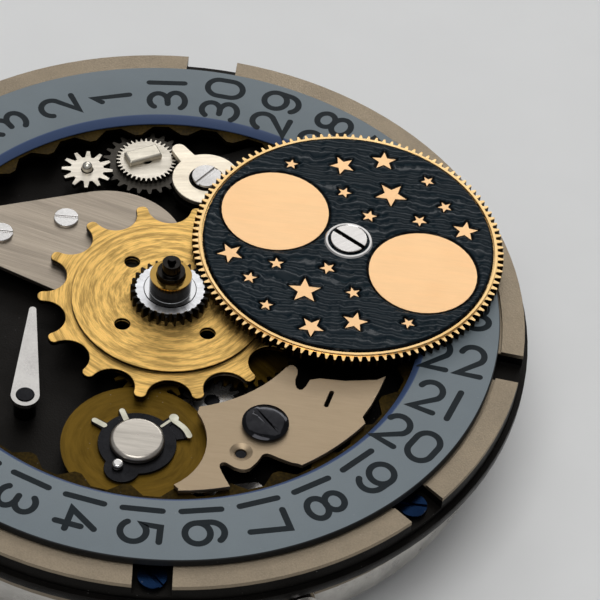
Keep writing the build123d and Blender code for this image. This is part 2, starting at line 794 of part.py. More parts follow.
def moon_disc_post():
    low = calendar_floor_height - post_depth() + level_gap
    foot_top = calendar_floor_height + moon_post_foot_height
    shoulder = moon_disc_bottom - end_shake_gap
    solid = column(moon_post_radius - pivot_clearance / 2, low, calendar_floor_height, 0, moon_distance)
    solid += column(moon_post_foot_radius, calendar_floor_height, foot_top, 0, moon_distance)
    solid += column(moon_post_radius + 2 * post_shoulder_width, foot_top, shoulder, 0, moon_distance)
    return (solid + column(moon_post_radius, shoulder, moon_screw_low(), 0, moon_distance)).solid()


def wheel_posts():
    """All the pins that stand in the calendar side of the main plate."""
    low = calendar_floor_height - post_depth() + level_gap
    drive_top = (date_train_top + finger_thickness + drive_boss_top) / 2
    posts = [
        post(drive_x, drive_y, date_train_bottom, drive_post_radius, drive_top),
        post(idler_x, idler_y, date_train_bottom, idler_post_radius, date_train_top),
        post(minute_x, minute_y, minute_wheel_bottom, post_radius, hour_wheel_top + level_gap / 2),
        post(setting_x, setting_y, minute_wheel_bottom, post_radius, motion_wheel_top + level_gap / 2),
        post(corrector_x, corrector_y, corrector_bottom, corrector_post_radius, corrector_top - level_gap),
        post(date_jumper_x, date_jumper_y, date_teeth_bottom, jumper_post_radius, date_ring_bottom + level_gap),
        post(moon_jumper_x, moon_jumper_y, star_bottom, jumper_post_radius, star_bottom + jumper_thickness + level_gap),
        post(setting_lever_x, setting_lever_y, setting_lever_bottom, post_radius,
             setting_lever_bottom + setting_lever_thickness + level_gap / 2),
        post(yoke_x, yoke_y, yoke_bottom, post_radius, yoke_bottom + yoke_thickness + level_gap / 2),
        domed_post(),
        cover_steady_pin(),
        moon_disc_post(),
    ]
    return Compound(children=posts)


# Date ring
def date_ring():
    return tube(date_ring_outer_radius, date_ring_inner_radius, date_ring_bottom, date_ring_top)


def date_ring_teeth():
    pitch = 360 / date_teeth
    face = Circle(date_teeth_outer_radius)
    points = []
    for tooth in range(date_teeth):
        middle = date_17_angle + (tooth + 0.5) * pitch
        points.append(polar(date_tooth_root_radius, middle - 0.34 * pitch))
        points.append(polar(date_tooth_tip_radius, middle - 0.07 * pitch))
        points.append(polar(date_tooth_tip_radius, middle + 0.07 * pitch))
        points.append(polar(date_tooth_root_radius, middle + 0.34 * pitch))
    face -= make_face(Polyline(*points, close=True))
    return slab(face, date_teeth_bottom, date_ring_bottom)


# Date train
def hour_date_phase():
    return 0.0


def idler_phase():
    return mesh_phase(date_train_angle, hour_date_phase(), hour_date_teeth, idler_teeth)


def drive_phase():
    return mesh_phase(date_train_angle, idler_phase(), idler_teeth, drive_teeth)


def date_idler_wheel():
    solid = wheel(idler_teeth, date_module_length, date_train_bottom, idler_top, idler_phase(), idler_x, idler_y)
    return solid - column(idler_post_radius + running_clearance, date_train_bottom - overrun_length,
                          date_train_top + overrun_length, idler_x, idler_y)


def date_drive_wheel():
    """Gear below a smooth disc that hides its teeth."""
    solid = wheel(drive_teeth, date_module_length, date_train_bottom, drive_gear_top, drive_phase(), drive_x, drive_y)
    solid += column(drive_disc_radius, drive_gear_top, date_train_top, drive_x, drive_y)
    return solid - column(drive_post_radius + running_clearance, date_train_bottom - overrun_length,
                          date_train_top + overrun_length, drive_x, drive_y)


def date_drive_boss():
    finger_top = date_train_top + finger_thickness
    boss = column(drive_boss_radius, finger_top, drive_boss_top, drive_x, drive_y)
    boss = chamfer(boss.edges().group_by(Axis.Z)[-1], (drive_boss_top - finger_top) / 3)
    return boss - column(drive_post_radius + running_clearance, finger_top - overrun_length,
                         (finger_top + drive_boss_top) / 2 + level_gap, drive_x, drive_y)


def date_finger():
    low, high = date_train_top, date_train_top + finger_thickness
    face = Circle(finger_hub_radius)
    for angle, reach_share in finger_arm_angles_reach_share:
        tip_x, tip_y = polar(reach_share * finger_reach_length - finger_arm_width / 2, angle)
        face += link_face(0, 0, finger_arm_width, tip_x, tip_y, finger_arm_width / 2)
    lobe_x, lobe_y = polar(finger_lobe_place_radius, finger_lobe_angle)
    face += Pos(lobe_x, lobe_y) * Circle(finger_lobe_radius)
    # Blade that runs back from the first arm, on a web a little lower
    start = finger_arm_angles_reach_share[0][0]
    web = sector_face(finger_hub_radius / 2, blade_radius() - finger_spring_width / 2, start - finger_blade_sweep_angle, start)
    blade = sector_face(blade_radius() - finger_spring_width, blade_radius(), start - finger_blade_sweep_angle, start)
    body = slab(face + blade, low, high) + slab(web, low, high - finger_thickness / 4)
    body -= column(drive_post_radius + running_clearance, low - overrun_length, high + overrun_length)
    return Pos(drive_x, drive_y) * body


def blade_radius():
    return finger_reach_length - finger_arm_width / 4


def date_finger_pin():
    pin_x, pin_y = polar(finger_pin_place_radius, finger_pin_angle)
    low = date_train_top + finger_thickness
    pin = column(finger_pin_radius, low, finger_pin_top, drive_x + pin_x, drive_y + pin_y)
    return fillet(pin.edges().group_by(Axis.Z)[-1], finger_pin_radius / 2)


# Motion works
def minute_phase():
    return mesh_phase(minute_angle, 0.0, cannon_teeth, minute_teeth)


def cannon_pinion():
    radius = motion_module * cannon_teeth / 2
    solid = wheel(cannon_teeth, motion_module, minute_wheel_bottom, motion_wheel_top, 0)
    solid += column(cannon_radius, minute_wheel_bottom, cannon_shoulder_height)
    solid += column(cannon_seat_radius, cannon_shoulder_height, cannon_top)
    bore = centre_arbor_radius + running_clearance
    solid -= column(bore, minute_wheel_bottom - overrun_length, cannon_shoulder_height - radius)
    return solid - column(seconds_arbor_radius + running_clearance, minute_wheel_bottom, cannon_top + overrun_length)


def hour_wheel():
    solid = wheel(hour_teeth, hour_module(), hour_wheel_bottom, hour_wheel_top, hour_phase())
    solid += wheel(hour_date_teeth, date_module_length, hour_wheel_top, date_train_top, hour_date_phase())
    solid += column(hour_shoulder_radius + post_shoulder_width, date_train_top, star_bottom - level_gap / 2)
    solid += column(hour_shoulder_radius, date_train_top, hour_shoulder_top)
    solid += column(hour_pipe_radius, date_train_top, hour_pipe_top)
    return solid - column(cannon_radius + running_clearance, hour_wheel_bottom - overrun_length, hour_pipe_top + overrun_length)


def hour_module():
    return 2 * minute_centre_distance / (hour_teeth + minute_pinion_teeth)


def minute_pinion_phase():
    return 0.0


def hour_phase():
    return mesh_phase(minute_angle + 180, minute_pinion_phase(), minute_pinion_teeth, hour_teeth)


def minute_wheel():
    solid = wheel(minute_teeth, motion_module, minute_wheel_bottom, motion_wheel_top, minute_phase())
    solid += wheel(minute_pinion_teeth, hour_module(), motion_wheel_top, hour_wheel_top, minute_pinion_phase())
    solid -= column(post_radius + running_clearance, minute_wheel_bottom - overrun_length, hour_wheel_top + overrun_length)
    return Pos(minute_x, minute_y) * solid


def setting_wheel():
    phase = mesh_phase(setting_wheel_angle, minute_phase(), minute_teeth, setting_teeth)
    solid = wheel(setting_teeth, motion_module, minute_wheel_bottom, motion_wheel_top, phase, setting_x, setting_y)
    return solid - column(post_radius + running_clearance, minute_wheel_bottom - overrun_length,
                          motion_wheel_top + overrun_length, setting_x, setting_y)


# Moon star wheel, disc and pinion
def moon_star_wheel():
    face = Circle(star_tip_radius)
    for tooth in range(star_teeth):
        angle = star_phase + (tooth + 0.5) * 360 / star_teeth
        face -= Pos(*polar(star_scallop_place_radius, angle)) * Circle(star_scallop_radius)
    face = fillet(face.vertices(), star_tip_round_radius)
    solid = slab(face, star_bottom, star_top)
    solid -= column(hour_shoulder_radius + running_clearance, star_bottom - overrun_length, star_top + overrun_length)
    return star_holes(solid)


def moon_star_disc():
    return star_holes(tube(star_disc_radius, hour_shoulder_radius + running_clearance, star_top, star_disc_top))


def star_holes(solid):
    """The four holes that go through the star wheel and its disc."""
    for hole in range(4):
        x, y = polar(star_hole_place_radius, star_hole_phase + hole * 90)
        solid -= column(star_hole_radius, star_bottom - overrun_length, star_disc_top + overrun_length, x, y)
    return solid


def moon_pinion():
    solid = wheel(moon_pinion_teeth, moon_module, star_disc_top, moon_pinion_top, 0)
    solid -= column(hour_shoulder_radius + running_clearance, star_disc_top - overrun_length, moon_pinion_top + overrun_length)
    return solid


def moon_disc():
    """Toothed wheel with its raised rim and the hub that shows round the screw."""
    phase = mesh_phase(90, 0, moon_pinion_teeth, moon_disc_teeth)
    solid = wheel(moon_disc_teeth, moon_module, moon_disc_bottom, moon_disc_top, phase)
    solid += tube(moon_rim_outer_radius, moon_rim_inner_radius, moon_disc_top, moon_disc_top + moon_rim_height)
    hub_top = moon_disc_top + moon_collar_height
    solid += column(moon_collar_radius, moon_disc_top, hub_top)
    solid -= column(moon_post_radius + running_clearance, moon_disc_bottom - overrun_length, hub_top + overrun_length)
    return Pos(0, moon_distance) * solid


def moon_places():
    return polar(moon_place_radius, moon_angle), polar(moon_place_radius, moon_angle + 180)


def moon_disc_field():
    face = Circle(moon_rim_inner_radius) - Circle(moon_collar_radius + moon_groove_width / 2)
    for x, y in moon_places():
        face -= Pos(x, y) * Circle(moon_radius + moon_groove_width)
    return Pos(0, moon_distance) * slab(face, moon_disc_top, moon_field_top)


def moon_disc_moons():
    moons = None
    for x, y in moon_places():
        moon = column(moon_radius, moon_disc_top, moon_disc_top + moon_height, x, moon_distance + y)
        moons = moon if moons is None else moons + moon
    return moons


def star_face(size):
    points = []
    for corner in range(10):
        radius = size if corner % 2 == 0 else size * star_waist_share
        points.append(polar(radius, corner * 36))
    return make_face(Polyline(*points, close=True))


def moon_disc_stars():
    stars = []
    for index, (angle, turn, place_share, size_share) in enumerate(2 * star_angles_place_size_share):
        half = 0 if index < len(star_angles_place_size_share) else 180
        x, y = polar(place_share * moon_rim_inner_radius, angle + half)
        face = Pos(x, y + moon_distance) * Rot(0, 0, turn + half) * star_face(size_share * moon_rim_inner_radius)
        stars.append(slab(face, moon_field_top, moon_disc_top + star_height).solid())
    return Compound(children=stars)


def moon_screw_low():
    return moon_disc_top + moon_collar_height + end_shake_gap


def moon_disc_screw():
    low = moon_screw_low()
    return slotted_head(moon_screw_radius, low, low + moon_screw_height, moon_screw_slot_angle, 0, moon_distance)


# Jumpers
def jumper(x, y, tip_radius, tip_angle, low):
    tip_x, tip_y = polar(tip_radius, tip_angle)
    face = link_face(x, y, jumper_arm_width, tip_x, tip_y, jumper_arm_width / 4)
    face -= Pos(x, y) * Circle(jumper_post_radius + running_clearance)
    return slab(face, low, low + jumper_thickness)


def date_jumper():
    reach = date_tooth_tip_radius - date_jumper_gap - jumper_arm_width / 4
    return jumper(date_jumper_x, date_jumper_y, reach, date_jumper_tip_angle, date_teeth_bottom)


def moon_jumper():
    reach = star_tip_radius + date_jumper_gap + jumper_arm_width / 4
    return jumper(moon_jumper_x, moon_jumper_y, reach, moon_jumper_tip_angle, star_bottom)


# Winding and setting works
def along_stem(radius, start, end):
    rod = Cylinder(radius, end - start, align=(Align.CENTER, Align.CENTER, Align.MIN))
    return Pos(start, 0, stem_level) * Rot(0, 90, 0) * rod


def stem_square_bar(side, start, end):
    bar = Box(end - start, side, side, align=(Align.MIN, Align.CENTER, Align.CENTER))
    return Pos(start, 0, stem_level) * bar


def winding_stem():
    square_start = stem_inner_end_x + stem_pilot_length
    stem = along_stem(stem_pilot_radius, stem_inner_end_x, square_start)
    stem += stem_square_bar(stem_square_width, square_start, winding_pinion_start_x)
    stem += along_stem(stem_round_radius(), winding_pinion_start_x, stem_groove_start_x)
    stem += along_stem(stem_groove_radius, stem_groove_start_x, stem_groove_start_x + stem_groove_width)
    stem += along_stem(stem_radius, stem_groove_start_x + stem_groove_width, stem_end_x - stem_thread_length)
    return stem + along_stem(stem_thread_radius, stem_end_x - stem_thread_length, stem_end_x)


def stem_round_radius():
    return stem_square_width * 0.72


def winding_pinion():
    face = gear_face(winding_teeth, winding_pinion_radius, winding_pinion_radius * 0.78, 0)
    face -= Circle(stem_round_radius() + running_clearance)
    solid = extrude(face, amount=winding_pinion_length)
    return Pos(winding_pinion_start_x, 0, stem_level) * Rot(0, 90, 0) * solid


def clutch_pinion():
    end = clutch_start_x + clutch_length
    solid = along_stem(clutch_radius, clutch_start_x, end)
    groove = clutch_start_x + clutch_length / 2 - clutch_groove_width / 2
    solid -= along_stem(clutch_radius + overrun_length, groove, groove + clutch_groove_width)
    solid += along_stem(clutch_groove_radius, groove, groove + clutch_groove_width)
    side = stem_square_width + 2 * running_clearance
    solid -= stem_square_bar(side, clutch_start_x - overrun_length, end + overrun_length)
    # Face teeth at the inner end, for the setting wheel
    for tooth in range(6):
        cut = Box(clutch_groove_width / 2, clutch_radius * 2.2, clutch_groove_width / 2,
                  align=(Align.MIN, Align.CENTER, Align.CENTER))
        solid -= Pos(clutch_start_x - clutch_groove_width / 4, 0, stem_level) * Rot(tooth * 30, 0, 0) * cut
    return solid


def setting_lever():
    low, high = setting_lever_bottom, setting_lever_bottom + setting_lever_thickness
    face = link_face(setting_lever_x, setting_lever_y, post_radius * 2, setting_stud_x, 0, lever_end_radius())
    face -= Pos(setting_lever_x, setting_lever_y) * Circle(post_radius + running_clearance)
    solid = slab(face, low, high)
    stud_low = stem_level + stem_groove_radius + level_gap
    return solid + column(setting_stud_radius, stud_low, low, setting_stud_x, 0)


def yoke():
    low, high = yoke_bottom, yoke_bottom + yoke_thickness
    stud_x = clutch_start_x + clutch_length / 2
    face = link_face(yoke_x, yoke_y, post_radius * 2, stud_x, 0, yoke_arm_width / 2)
    face -= Pos(yoke_x, yoke_y) * Circle(post_radius + running_clearance)
    stud_low = stem_level + clutch_groove_radius + level_gap
    return slab(face, low, high) + column(yoke_stud_radius, stud_low, low, stud_x, 0)


# Train side
def train_centres():
    """Axes whose lower pivots run in the main plate."""
    return (third_x, third_y), (escape_x, escape_y), (pallet_x, pallet_y), (balance_x, balance_y)


def bridge_screw_places():
    turns_share = (-0.106, 0.028, 0.183, 0.306, 0.406, -0.256)
    round_edge = [polar(bridge_screw_place_radius, bridge_split_angle + 360 * share) for share in turns_share]
    return round_edge + [(cock_foot_x, cock_foot_y), pallet_bridge_foot()]


def split_half(gap_side):
    """Half plane on one side of the gap between the two bridges."""
    size = 4 * bridge_radius
    offset = bridge_split_offset_length + gap_side * bridge_gap / 2
    half = Pos(offset + gap_side * size / 2, 0) * Rectangle(size, size)
    return Rot(0, 0, bridge_split_angle) * half


def cock_face(extra=0):
    return link_face(balance_x, balance_y, cock_head_radius + extra, cock_foot_x, cock_foot_y, cock_foot_radius + extra)


def balance_opening_face():
    """Opening of the train bridge for the balance and its cock, out to the edge."""
    opening = Pos(balance_x, balance_y) * Circle(balance_opening_radius) + cock_face(bridge_gap)
    outside = (balance_x, balance_y - bridge_radius), (cock_foot_x - cock_foot_radius, balance_y - bridge_radius)
    shoulder = (cock_foot_x - cock_foot_radius - bridge_gap, cock_foot_y)
    return opening + make_face(Polyline((balance_x, balance_y), *outside, shoulder, close=True))


def bridge_shell(half, opening=None):
    plate = Circle(bridge_radius) & half
    wall = (Circle(bridge_radius) - Circle(bridge_wall_inner_radius)) & half
    if opening is not None:
        plate -= opening
        wall -= opening
    return slab(plate, train_bridge_out_height, bridge_under_height) + slab(wall, bridge_under_height, plate_under_height)


def bridge_screw_holes(solid, places):
    for x, y in places:
        solid -= column(bridge_screw_shank_radius + running_clearance, train_bridge_out_height - overrun_length, plate_under_height + overrun_length, x, y)
        solid -= column(bridge_screw_head_radius + running_clearance, train_bridge_out_height - overrun_length,
                        train_bridge_out_height + bridge_screw_sink_depth, x, y)
    return solid


def barrel_bridge():
    solid = bridge_shell(split_half(1))
    bore = Cylinder(stem_radius + stem_bore_clearance, bridge_radius + overrun_length - pocket_start_x,
                    align=(Align.CENTER, Align.CENTER, Align.MIN))
    solid -= Pos(pocket_start_x, 0, stem_level) * Rot(0, 90, 0) * bore
    solid -= column(barrel_arbor_radius + running_clearance, train_bridge_out_height - overrun_length, bridge_under_height + overrun_length,
                    barrel_x, barrel_y)
    solid -= column(crown_hub_radius + crown_hole_gap, train_bridge_out_height - overrun_length, bridge_under_height + overrun_length,
                    crown_x, crown_y)
    return bridge_screw_holes(solid, bridge_screw_places()[:3])


def train_bridge():
    solid = bridge_shell(split_half(-1), balance_opening_face())
    for x, y in ((0, 0), (third_x, third_y), (escape_x, escape_y)):
        solid -= column(jewel_radius, train_bridge_out_height - overrun_length, train_bridge_out_height + jewel_thickness, x, y)
        solid -= column(pivot_radius + pivot_clearance, train_bridge_out_height, bridge_under_height + overrun_length, x, y)
    return bridge_screw_holes(solid, bridge_screw_places()[3:6])


def jewels():
    """Bearing stones set in the train bridge and the balance cock."""
    stones = []
    for x, y in ((0, 0), (third_x, third_y), (escape_x, escape_y), (balance_x, balance_y)):
        low = train_bridge_out_height
        stones.append(tube(jewel_radius, pivot_radius + pivot_clearance, low, low + jewel_thickness, x, y).solid())
    return Compound(children=stones)


def bridge_screws():
    """Screws of bridges, cock and click, and the core on which the crown wheel turns."""
    screws = []
    thread_end = plate_under_height + bridge_screw_bite_depth - level_gap
    for index, (x, y) in enumerate(bridge_screw_places()[:7]):
        shoulder = train_bridge_out_height + bridge_screw_sink_depth
        head = slotted_head(bridge_screw_head_radius, shoulder, train_bridge_out_height, 20 + 37 * index, x, y)
        shank = column(bridge_screw_shank_radius - pivot_clearance, shoulder, thread_end, x, y)
        screws.append((head + shank).solid())
    x, y = pallet_bridge_foot()
    head = slotted_head(bridge_screw_head_radius, pallet_bridge_level, pallet_bridge_level - bridge_screw_sink_depth / 2, 70, x, y)
    shank = column(bridge_screw_shank_radius - pivot_clearance, pallet_bridge_level, thread_end, x, y)
    screws.append((head + shank).solid())
    low = winding_wheel_bottom - end_shake_gap
    head = slotted_head(core_head_radius, low, low - core_head_height, 110, crown_x, crown_y)
    screws.append((head + column(core_radius - pivot_clearance, low, thread_end, crown_x, crown_y)).solid())
    head = slotted_head(click_radius, low, low - core_head_height, 10, click_x, click_y)
    screws.append((head + column(post_radius, low, train_bridge_out_height, click_x, click_y)).solid())
    return Compound(children=screws)


def barrel_drum():
    low, high = barrel_bottom, barrel_top
    solid = column(barrel_drum_radius, low, high, barrel_x, barrel_y)
    phase = barrel_phase()
    solid += wheel(barrel_teeth, barrel_module, barrel_teeth_level, barrel_teeth_level + barrel_teeth_thickness,
                   phase, barrel_x, barrel_y)
    inside = barrel_drum_radius - barrel_wall_thickness
    solid -= column(inside, low + barrel_lid_thickness, high - barrel_lid_thickness, barrel_x, barrel_y)
    return solid - column(barrel_arbor_radius + running_clearance, low - overrun_length, high + overrun_length, barrel_x, barrel_y)


def barrel_phase():
    return mesh_phase(barrel_angle, centre_pinion_phase(), centre_pinion_teeth, barrel_teeth)


def barrel_arbor():
    """Arbor with its core, and the screw that holds the ratchet wheel on it."""
    solid = column(barrel_arbor_radius, winding_wheel_bottom, plate_under_height + pivot_length, barrel_x, barrel_y)
    inner_low, inner_high = barrel_bottom + barrel_lid_thickness + level_gap, barrel_top - barrel_lid_thickness - level_gap
    solid += column(barrel_core_radius, inner_low, inner_high, barrel_x, barrel_y)
    screw = slotted_head(ratchet_screw_radius, winding_wheel_bottom, winding_wheel_bottom - ratchet_screw_height, 35,
                         barrel_x, barrel_y)
    return Compound(children=[solid.solid(), screw.solid()])


def spiral_face(inner, pitch, half_turns, width):
    """Flat spiral band of half turns whose centres alternate, so its gap is even."""
    outside = []
    inside = []
    radius = inner
    centre = 0
    side = 1
    for half in range(half_turns):
        start = 0 if side > 0 else 180
        outside.append(CenterArc((centre, 0), radius + width / 2, start, 180))
        inside.append(CenterArc((centre, 0), radius - width / 2, start, 180))
        radius += pitch / 2
        centre += side * pitch / 2
        side = -side
    ends = [Line(outside[0] @ 0, inside[0] @ 0), Line(outside[-1] @ 1, inside[-1] @ 1)]
    return make_face(Wire(outside + inside + ends))


def spiral_gap(inner, pitch, half_turns, width):
    """Least gap between the turns of a spiral, measured on points along it."""
    points = []
    radius = inner
    centre = 0
    side = 1
    for half in range(half_turns):
        for step in range(36):
            angle = math.radians((0 if side > 0 else 180) + step * 5)
            points.append((centre + radius * math.cos(angle), radius * math.sin(angle)))
        radius += pitch / 2
        centre += side * pitch / 2
        side = -side
    least = pitch * half_turns
    for index, (x, y) in enumerate(points):
        for other_x, other_y in points[index + 40:]:
            least = min(least, math.hypot(other_x - x, other_y - y))
    return least - width


def centre_pinion_phase():
    return 0.0


def centre_wheel():
    top = centre_wheel_level + train_wheel_thickness
    solid = wheel(centre_wheel_teeth, centre_module, centre_wheel_level, top, 0)
    outer = pitch_radius(centre_wheel_teeth, centre_module) * 0.82
    solid = spoked(solid, outer, outer * 0.36, 5, arbor_radius * 1.3, centre_wheel_level, top, 20)
    pinion_low = barrel_teeth_level - level_gap
    solid += wheel(centre_pinion_teeth, barrel_module, pinion_low, centre_wheel_level, centre_pinion_phase())
    solid += column(centre_arbor_radius, pinion_low, cannon_shoulder_height - 2 * cannon_radius)
    return solid - column(centre_bore_radius, pinion_low - overrun_length, cannon_shoulder_height + overrun_length)


def third_pinion_phase():
    return mesh_phase(third_angle, 0, centre_wheel_teeth, third_pinion_teeth)


def arbor(low_seat, high_seat, x, y, radius=arbor_radius):
    """Arbor between two seats, with a thin pivot at each end."""
    solid = column(radius, low_seat + end_shake_gap, high_seat - end_shake_gap, x, y)
    return solid + column(pivot_radius, low_seat - pivot_length, high_seat + pivot_length, x, y)


def train_arbor(x, y):
    return arbor(bridge_under_height, plate_under_height, x, y)


def third_wheel():
    top = third_wheel_level + train_wheel_thickness
    solid = wheel(third_wheel_teeth, third_module, third_wheel_level, top, 0, third_x, third_y)
    outer = pitch_radius(third_wheel_teeth, third_module) * 0.82
    solid = spoked(solid, outer, outer * 0.26, 5, arbor_radius * 1.3, third_wheel_level, top, 0, third_x, third_y)
    solid += wheel(third_pinion_teeth, centre_module, third_wheel_level, plate_under_height - level_gap,
                   third_pinion_phase(), third_x, third_y)
    return solid + train_arbor(third_x, third_y)


def seconds_wheel():
    top = seconds_wheel_level + train_wheel_thickness / 1.2
    phase = mesh_phase(third_angle + 180, 0, third_wheel_teeth, seconds_pinion_teeth)
    solid = wheel(seconds_wheel_teeth, seconds_module, seconds_wheel_level, top, 0)
    outer = pitch_radius(seconds_wheel_teeth, seconds_module) * 0.84
    solid = spoked(solid, outer, outer * 0.28, 5, arbor_radius * 1.3, seconds_wheel_level, top, 36)
    pinion_top = barrel_teeth_level - 2 * level_gap
    solid += wheel(seconds_pinion_teeth, third_module, seconds_wheel_level, pinion_top, phase)
    solid += column(pivot_radius, bridge_under_height - pivot_length, seconds_wheel_level)
    return solid + column(seconds_arbor_radius, pinion_top, seconds_tip_height)


def escape_wheel():
    top = escape_wheel_level + train_wheel_thickness / 1.2
    points = []
    pitch = 360 / escape_teeth
    for tooth in range(escape_teeth):
        base = tooth * pitch
        points.append(polar(escape_tip_radius * 0.74, base - 0.10 * pitch))
        points.append(polar(escape_tip_radius, base + 0.30 * pitch))
        points.append(polar(escape_tip_radius * 0.98, base + 0.46 * pitch))
        points.append(polar(escape_tip_radius * 0.74, base + 0.50 * pitch))
    face = make_face(Polyline(*points, close=True))
    solid = Pos(escape_x, escape_y) * slab(face, escape_wheel_level, top)
    solid = spoked(solid, escape_tip_radius * 0.62, arbor_radius * 1.7, 4, arbor_radius, escape_wheel_level, top, 10,
                   escape_x, escape_y)
    phase = mesh_phase(escape_angle, 0, seconds_wheel_teeth, escape_pinion_teeth)
    low = seconds_wheel_level - level_gap / 2
    solid += wheel(escape_pinion_teeth, seconds_module, low, low + 2 * train_wheel_thickness, phase, escape_x, escape_y)
    return solid + arbor(bridge_under_height, plate_under_height, escape_x, escape_y, slim_arbor_radius)


def pallet_fork():
    """Fork with its two stones; it points from the escape wheel to the balance."""
    low, high = escape_wheel_level, escape_wheel_level + pallet_thickness
    reach = math.hypot(balance_x - pallet_x, balance_y - pallet_y) - fork_reach_gap
    face = link_face(0, 0, pallet_fork_width, reach - fork_horn_length, 0, pallet_fork_width / 2)
    horns = Pos(reach - fork_horn_length / 2, 0) * Rectangle(fork_horn_length, fork_horn_width)
    horns -= Pos(reach, 0) * Rectangle(2 * fork_slot_depth, fork_slot_width)
    face += horns
    for side in (1, -1):
        end_x, end_y = stone_end(side)
        face += link_face(0, 0, pallet_fork_width, end_x, end_y, pallet_fork_width / 2)
    solid = Pos(pallet_x, pallet_y) * Rot(0, 0, fork_angle) * slab(face, low, high)
    return solid + arbor(pallet_bridge_level + pallet_bridge_thickness, plate_under_height, pallet_x, pallet_y)


def stone_end(side):
    """Place of a pallet stone beside the escape wheel, seen from the pallet arbor."""
    spread = math.degrees(math.acos((escape_tip_radius + stone_gap) / pallet_distance))
    clear = escape_tip_radius + stone_gap + stone_length / 2
    x, y = polar(clear, side * spread)
    return x - pallet_distance, y


def pallet_bridge_foot():
    return pallet_x + 4.2 * cock_head_radius, pallet_y - cock_head_radius * 1.15


def pallet_bridge():
    foot_x, foot_y = pallet_bridge_foot()
    level = pallet_bridge_level
    face = link_face(pallet_x, pallet_y, jewel_radius, foot_x, foot_y, bridge_screw_head_radius)
    solid = slab(face, level, level + pallet_bridge_thickness)
    solid += column(bridge_screw_head_radius, level, plate_under_height, foot_x, foot_y)
    solid -= column(pivot_radius + pivot_clearance, level - overrun_length, level + overrun_length, pallet_x, pallet_y)
    return solid - column(bridge_screw_shank_radius, level - overrun_length, plate_under_height + overrun_length, foot_x, foot_y)


def balance_wheel():
    low, high = balance_rim_bottom, balance_rim_top
    inner = balance_rim_outer_radius - balance_rim_width
    solid = tube(balance_rim_outer_radius, inner, low, high)
    arm_low = (low + high) / 2 - balance_arm_thickness / 2
    for arm in range(3):
        bar = Box(inner + balance_rim_width / 2, balance_arm_width, balance_arm_thickness,
                  align=(Align.MIN, Align.CENTER, Align.MIN))
        solid += Pos(0, 0, arm_low) * Rot(0, 0, 90 + arm * 120) * bar
    solid += column(balance_arm_width, arm_low, arm_low + balance_arm_thickness)
    return Pos(balance_x, balance_y) * solid - column(balance_staff_radius, low - overrun_length, high + overrun_length,
                                                      balance_x, balance_y)


def balance_staff():
    low = cock_under_height - pivot_length
    solid = column(balance_staff_radius, cock_under_height + end_shake_gap, plate_under_height - end_shake_gap)
    solid += column(pivot_radius, low, plate_under_height + pivot_length)
    solid += column(collet_radius, hairspring_level, hairspring_level + hairspring_height)
    solid += column(roller_radius, roller_level, roller_level + roller_thickness)
    pin_x, pin_y = polar(impulse_place_radius, fork_angle + 180)
    solid += column(impulse_radius, roller_level, roller_level + roller_thickness + impulse_length, pin_x, pin_y)
    return Pos(balance_x, balance_y) * solid


def hairspring():
    size = hairspring_inner_radius, hairspring_pitch_length, hairspring_half_turns, hairspring_width
    print("hairspring least gap", round(spiral_gap(*size), 3), "mm")
    return Pos(balance_x, balance_y) * slab(spiral_face(*size), hairspring_level, hairspring_level + hairspring_height)


def balance_cock():
    solid = slab(cock_face(), cock_under_height - cock_thickness, cock_under_height)
    solid += column(cock_foot_radius, cock_under_height, plate_under_height, cock_foot_x, cock_foot_y)
    solid -= column(pivot_radius + pivot_clearance, cock_under_height - overrun_length, cock_under_height + overrun_length, balance_x, balance_y)
    solid -= column(jewel_radius, cock_under_height - cock_thickness - overrun_length,
                    cock_under_height - cock_thickness + jewel_thickness, balance_x, balance_y)
    stud_x, stud_y = stud_place()
    solid += column(arbor_radius, cock_under_height, hairspring_level + hairspring_height, stud_x, stud_y)
    return bridge_screw_holes(solid, [(cock_foot_x, cock_foot_y)])


def stud_place():
    """Stud of the cock at the hairspring's outer end."""
    radius = hairspring_inner_radius + hairspring_pitch_length * (hairspring_half_turns - 1) / 2
    return balance_x - radius - hairspring_width / 2 - running_clearance - arbor_radius, balance_y


def ratchet_wheel():
    solid = wheel(ratchet_teeth, winding_module, winding_wheel_bottom, winding_wheel_top, 0, barrel_x, barrel_y)
    return solid - column(barrel_arbor_radius, winding_wheel_bottom - overrun_length, winding_wheel_top + overrun_length,
                          barrel_x, barrel_y)


def crown_wheel():
    phase = mesh_phase(crown_angle, 0, ratchet_teeth, crown_teeth)
    solid = wheel(crown_teeth, winding_module, winding_wheel_bottom, winding_wheel_top, phase, crown_x, crown_y)
    solid += column(crown_hub_radius, winding_wheel_top, crown_hub_end_height, crown_x, crown_y)
    return solid - column(core_radius + running_clearance, winding_wheel_bottom - overrun_length,
                          crown_hub_end_height + overrun_length, crown_x, crown_y)


def click():
    tip_x, tip_y = polar(ratchet_tip_radius + click_gap + click_radius / 4, click_direction + 14)
    face = link_face(click_x, click_y, click_radius, barrel_x + tip_x, barrel_y + tip_y, click_radius / 4)
    face -= Pos(click_x, click_y) * Circle(post_radius + running_clearance)
    return slab(face, winding_wheel_bottom, winding_wheel_top)


# Rotor
def rotor_bearing():
    solid = column(bearing_radius, bearing_bottom, train_bridge_out_height)
    solid += column(bearing_stud_radius, rotor_level - level_gap, bearing_bottom)
    return solid + column(bearing_cap_radius, rotor_level - level_gap - bearing_cap_height, rotor_level - level_gap)


